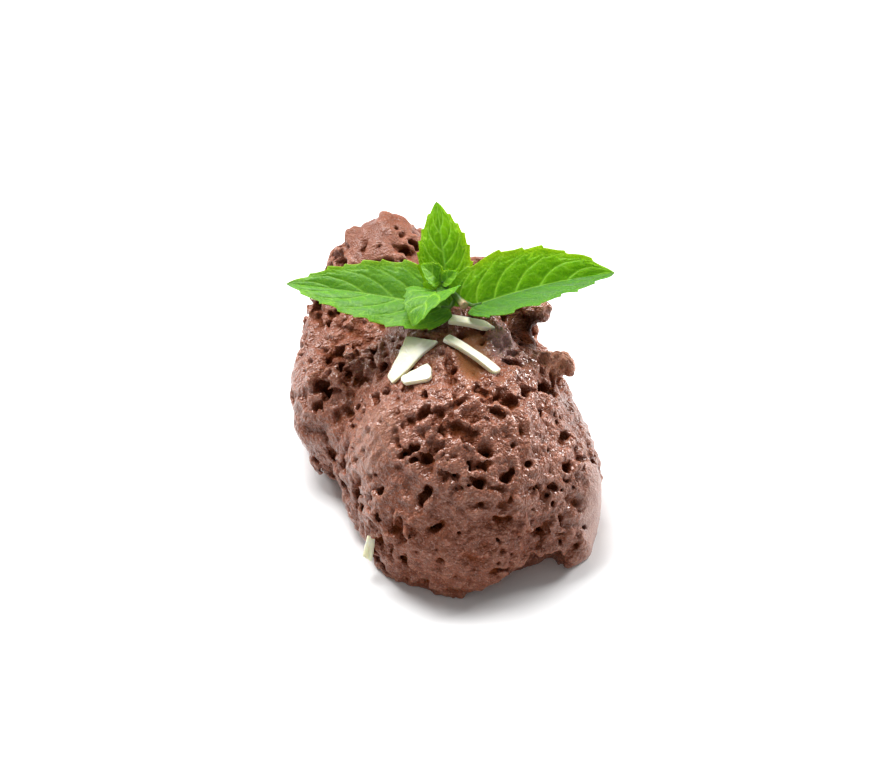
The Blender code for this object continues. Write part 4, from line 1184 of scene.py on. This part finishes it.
def flake_surface(flake, seed):
    """A flake as rings: each ring is the outline, walked evenly and with its corners eased, drawn in towards
    the middle by an amount that follows a rounded edge from the lower face round to the upper one."""
    corners = np.array(flake["outline"])
    draw = np.random.default_rng(seed)
    walk = np.vstack([corners, corners[:1]])
    lengths = np.concatenate([[0.0], np.cumsum(np.linalg.norm(np.diff(walk, axis=0), axis=1))])
    at = np.linspace(0.0, lengths[-1], FLAKE_ROUND, endpoint=False)
    edge = np.stack([np.interp(at, lengths, walk[:, k]) for k in range(2)], -1)
    for _ in range(2):
        edge = (np.roll(edge, 1, 0) + 2.0 * edge + np.roll(edge, -1, 0)) / 4.0
    ripple = draw.normal(size=(FLAKE_ROUND, 1))
    for _ in range(6):
        ripple = (np.roll(ripple, 1, 0) + 2.0 * ripple + np.roll(ripple, -1, 0)) / 4.0
    middle = edge.mean(axis=0)
    edge = middle + (edge - middle) * (1.0 + 0.03 * ripple)
    thickness = flake["thickness"]
    bevel = 0.10
    sweep = np.linspace(-math.pi / 2.0, math.pi / 2.0, FLAKE_ROWS - 6)
    inset = np.concatenate([[1e3, 2.0, 0.9], bevel * (1.0 - np.cos(sweep)), [0.9, 2.0, 1e3]])
    height = np.concatenate([[0, 0, 0], bevel + (thickness - 2 * bevel) * (np.sin(sweep) + 1) / 2 - bevel * 0, [0, 0, 0]])
    height[:3] = 0.0
    height[3:-3] = thickness * (np.sin(sweep) + 1.0) / 2.0
    height[-3:] = thickness
    away = edge - middle
    span = np.linalg.norm(away, axis=1, keepdims=True)
    rings = []
    for drawn_in, z in zip(inset, height):
        kept = np.maximum(1.0 - drawn_in / span, 0.0)
        flat = middle + away * kept
        rings.append(np.concatenate([flat, np.full((FLAKE_ROUND, 1), z)], axis=1))
    rings = np.stack(rings)
    reach = np.abs(corners[:, 0]).max()
    rings[..., 2] += flake["curl"] * (rings[..., 0] / reach) ** 2
    top = rings[..., 2] - rings[..., 2].min()
    rings[..., 2] += 0.05 * np.sin(rings[..., 1] * 5.0 + rings[..., 0] * 0.6) * (top > thickness * 0.6)
    return rings


def make_flake(name, flake, axes, material, seed):
    rings = flake_surface(flake, seed)
    origin, directions = axes
    points = origin + rings.reshape(-1, 3) @ directions
    piece = put_into_blender(f"{name}_flake", points, closed_tube_faces(*rings.shape[:2]), material)
    weld_poles(piece)
    return dress(piece, [name])


def flake_seat(flake, axes):
    """The box a flake fills, with the mousse's clearance."""
    corners = np.array(flake["outline"])
    low, high = corners.min(axis=0), corners.max(axis=0)
    origin, directions = axes
    middle = np.array((*((low + high) / 2.0), flake["thickness"] / 2.0 + 0.25))
    half = np.array((*((high - low) / 2.0 - 0.3), flake["thickness"] / 2.0 + 0.25))
    return origin + middle @ directions, directions, half


# ---------------------------------------------------------------- the studio


def make_floor():
    mesh = bpy.data.meshes.new("floor")
    reach = 3.0
    mesh.from_pydata([(-reach, -reach, 0), (reach, -reach, 0), (reach, reach, 0), (-reach, reach, 0)], [], [(0, 1, 2, 3)])
    f = Finish("pale_floor")
    tone = f.mix(f.noise(3.0, 2.0), (0.86, 0.86, 0.86), (0.90, 0.90, 0.90))
    f.shade(Base_Color=tone, Roughness=0.7)
    mesh.materials.append(f.material)
    floor = bpy.data.objects.new("floor", mesh)
    bpy.context.scene.collection.objects.link(floor)


def soft_light(name, place, target, size, power, colour=(1.0, 1.0, 1.0)):
    data = bpy.data.lights.new(name, "AREA")
    data.shape = "RECTANGLE"
    data.size, data.size_y = size
    data.energy = power
    data.color = colour
    light = bpy.data.objects.new(name, data)
    bpy.context.scene.collection.objects.link(light)
    aim(light, place, target)


def aim(obj, place, target):
    """Places an object and turns its -Z axis to the target, with +Y kept up."""
    place, target = np.array(place, float), np.array(target, float)
    back = place - target
    back /= np.linalg.norm(back)
    right = np.cross((0.0, 0.0, 1.0), back)
    right /= np.linalg.norm(right)
    up = np.cross(back, right)
    matrix = np.eye(4)
    matrix[:3, 0], matrix[:3, 1], matrix[:3, 2], matrix[:3, 3] = right, up, back, place
    obj.matrix_world = Matrix(matrix.tolist())


CAMERA_HEIGHT_DEGREES = 40.0
CAMERA_DISTANCE = 0.420
CAMERA_TARGET = np.array((0.0, 0.005, 0.025))
LENS = 70.3125
SENSOR = 36.0


def make_camera():
    data = bpy.data.cameras.new("camera")
    data.lens = LENS
    data.sensor_width = SENSOR
    camera = bpy.data.objects.new("camera", data)
    bpy.context.scene.collection.objects.link(camera)
    angle = math.radians(CAMERA_HEIGHT_DEGREES)
    away = np.array((0.0, -math.cos(angle), math.sin(angle))) * CAMERA_DISTANCE
    aim(camera, CAMERA_TARGET + away, CAMERA_TARGET)
    bpy.context.scene.camera = camera


def make_studio():
    make_floor()
    world = bpy.data.worlds.new("studio")
    world.use_nodes = True
    world.node_tree.nodes["Background"].inputs["Color"].default_value = (1.0, 1.0, 1.0, 1.0)
    world.node_tree.nodes["Background"].inputs["Strength"].default_value = 0.26
    bpy.context.scene.world = world
    target = (0.0, 0.0, 0.03)
    soft_light("overhead", (-0.12, 0.22, 0.56), target, (0.35, 0.25), 5.8)
    soft_light("right_back", (0.45, 0.25, 0.25), target, (0.14, 0.14), 3.0)
    soft_light("left_back", (-0.35, 0.35, 0.30), target, (0.14, 0.14), 1.4)
    soft_light("front_fill", (-0.25, -0.55, 0.30), target, (0.5, 0.5), 0.20)
    bpy.context.scene.view_settings.view_transform = "Standard"


# ---------------------------------------------------------------- the whole


def main():
    make_camera()
    make_studio()
    leaf_green, stem_green, cream = leaf_finish(), stem_finish(), chocolate_finish()
    for name, leaf in LEAVES.items():
        make_leaf(name, leaf, leaf_green)
    make_stem(stem_green)
    seats = []
    for seed, (name, flake) in enumerate(SHAVINGS.items()):
        axes = flake_axes(flake)
        make_flake(name, flake, axes, cream, seed)
        seats.append(flake_seat(flake, axes))
    make_flake("shaving_chip", CHIP, chip_axes(), cream, 9)
    make_mousse(seats)


main()
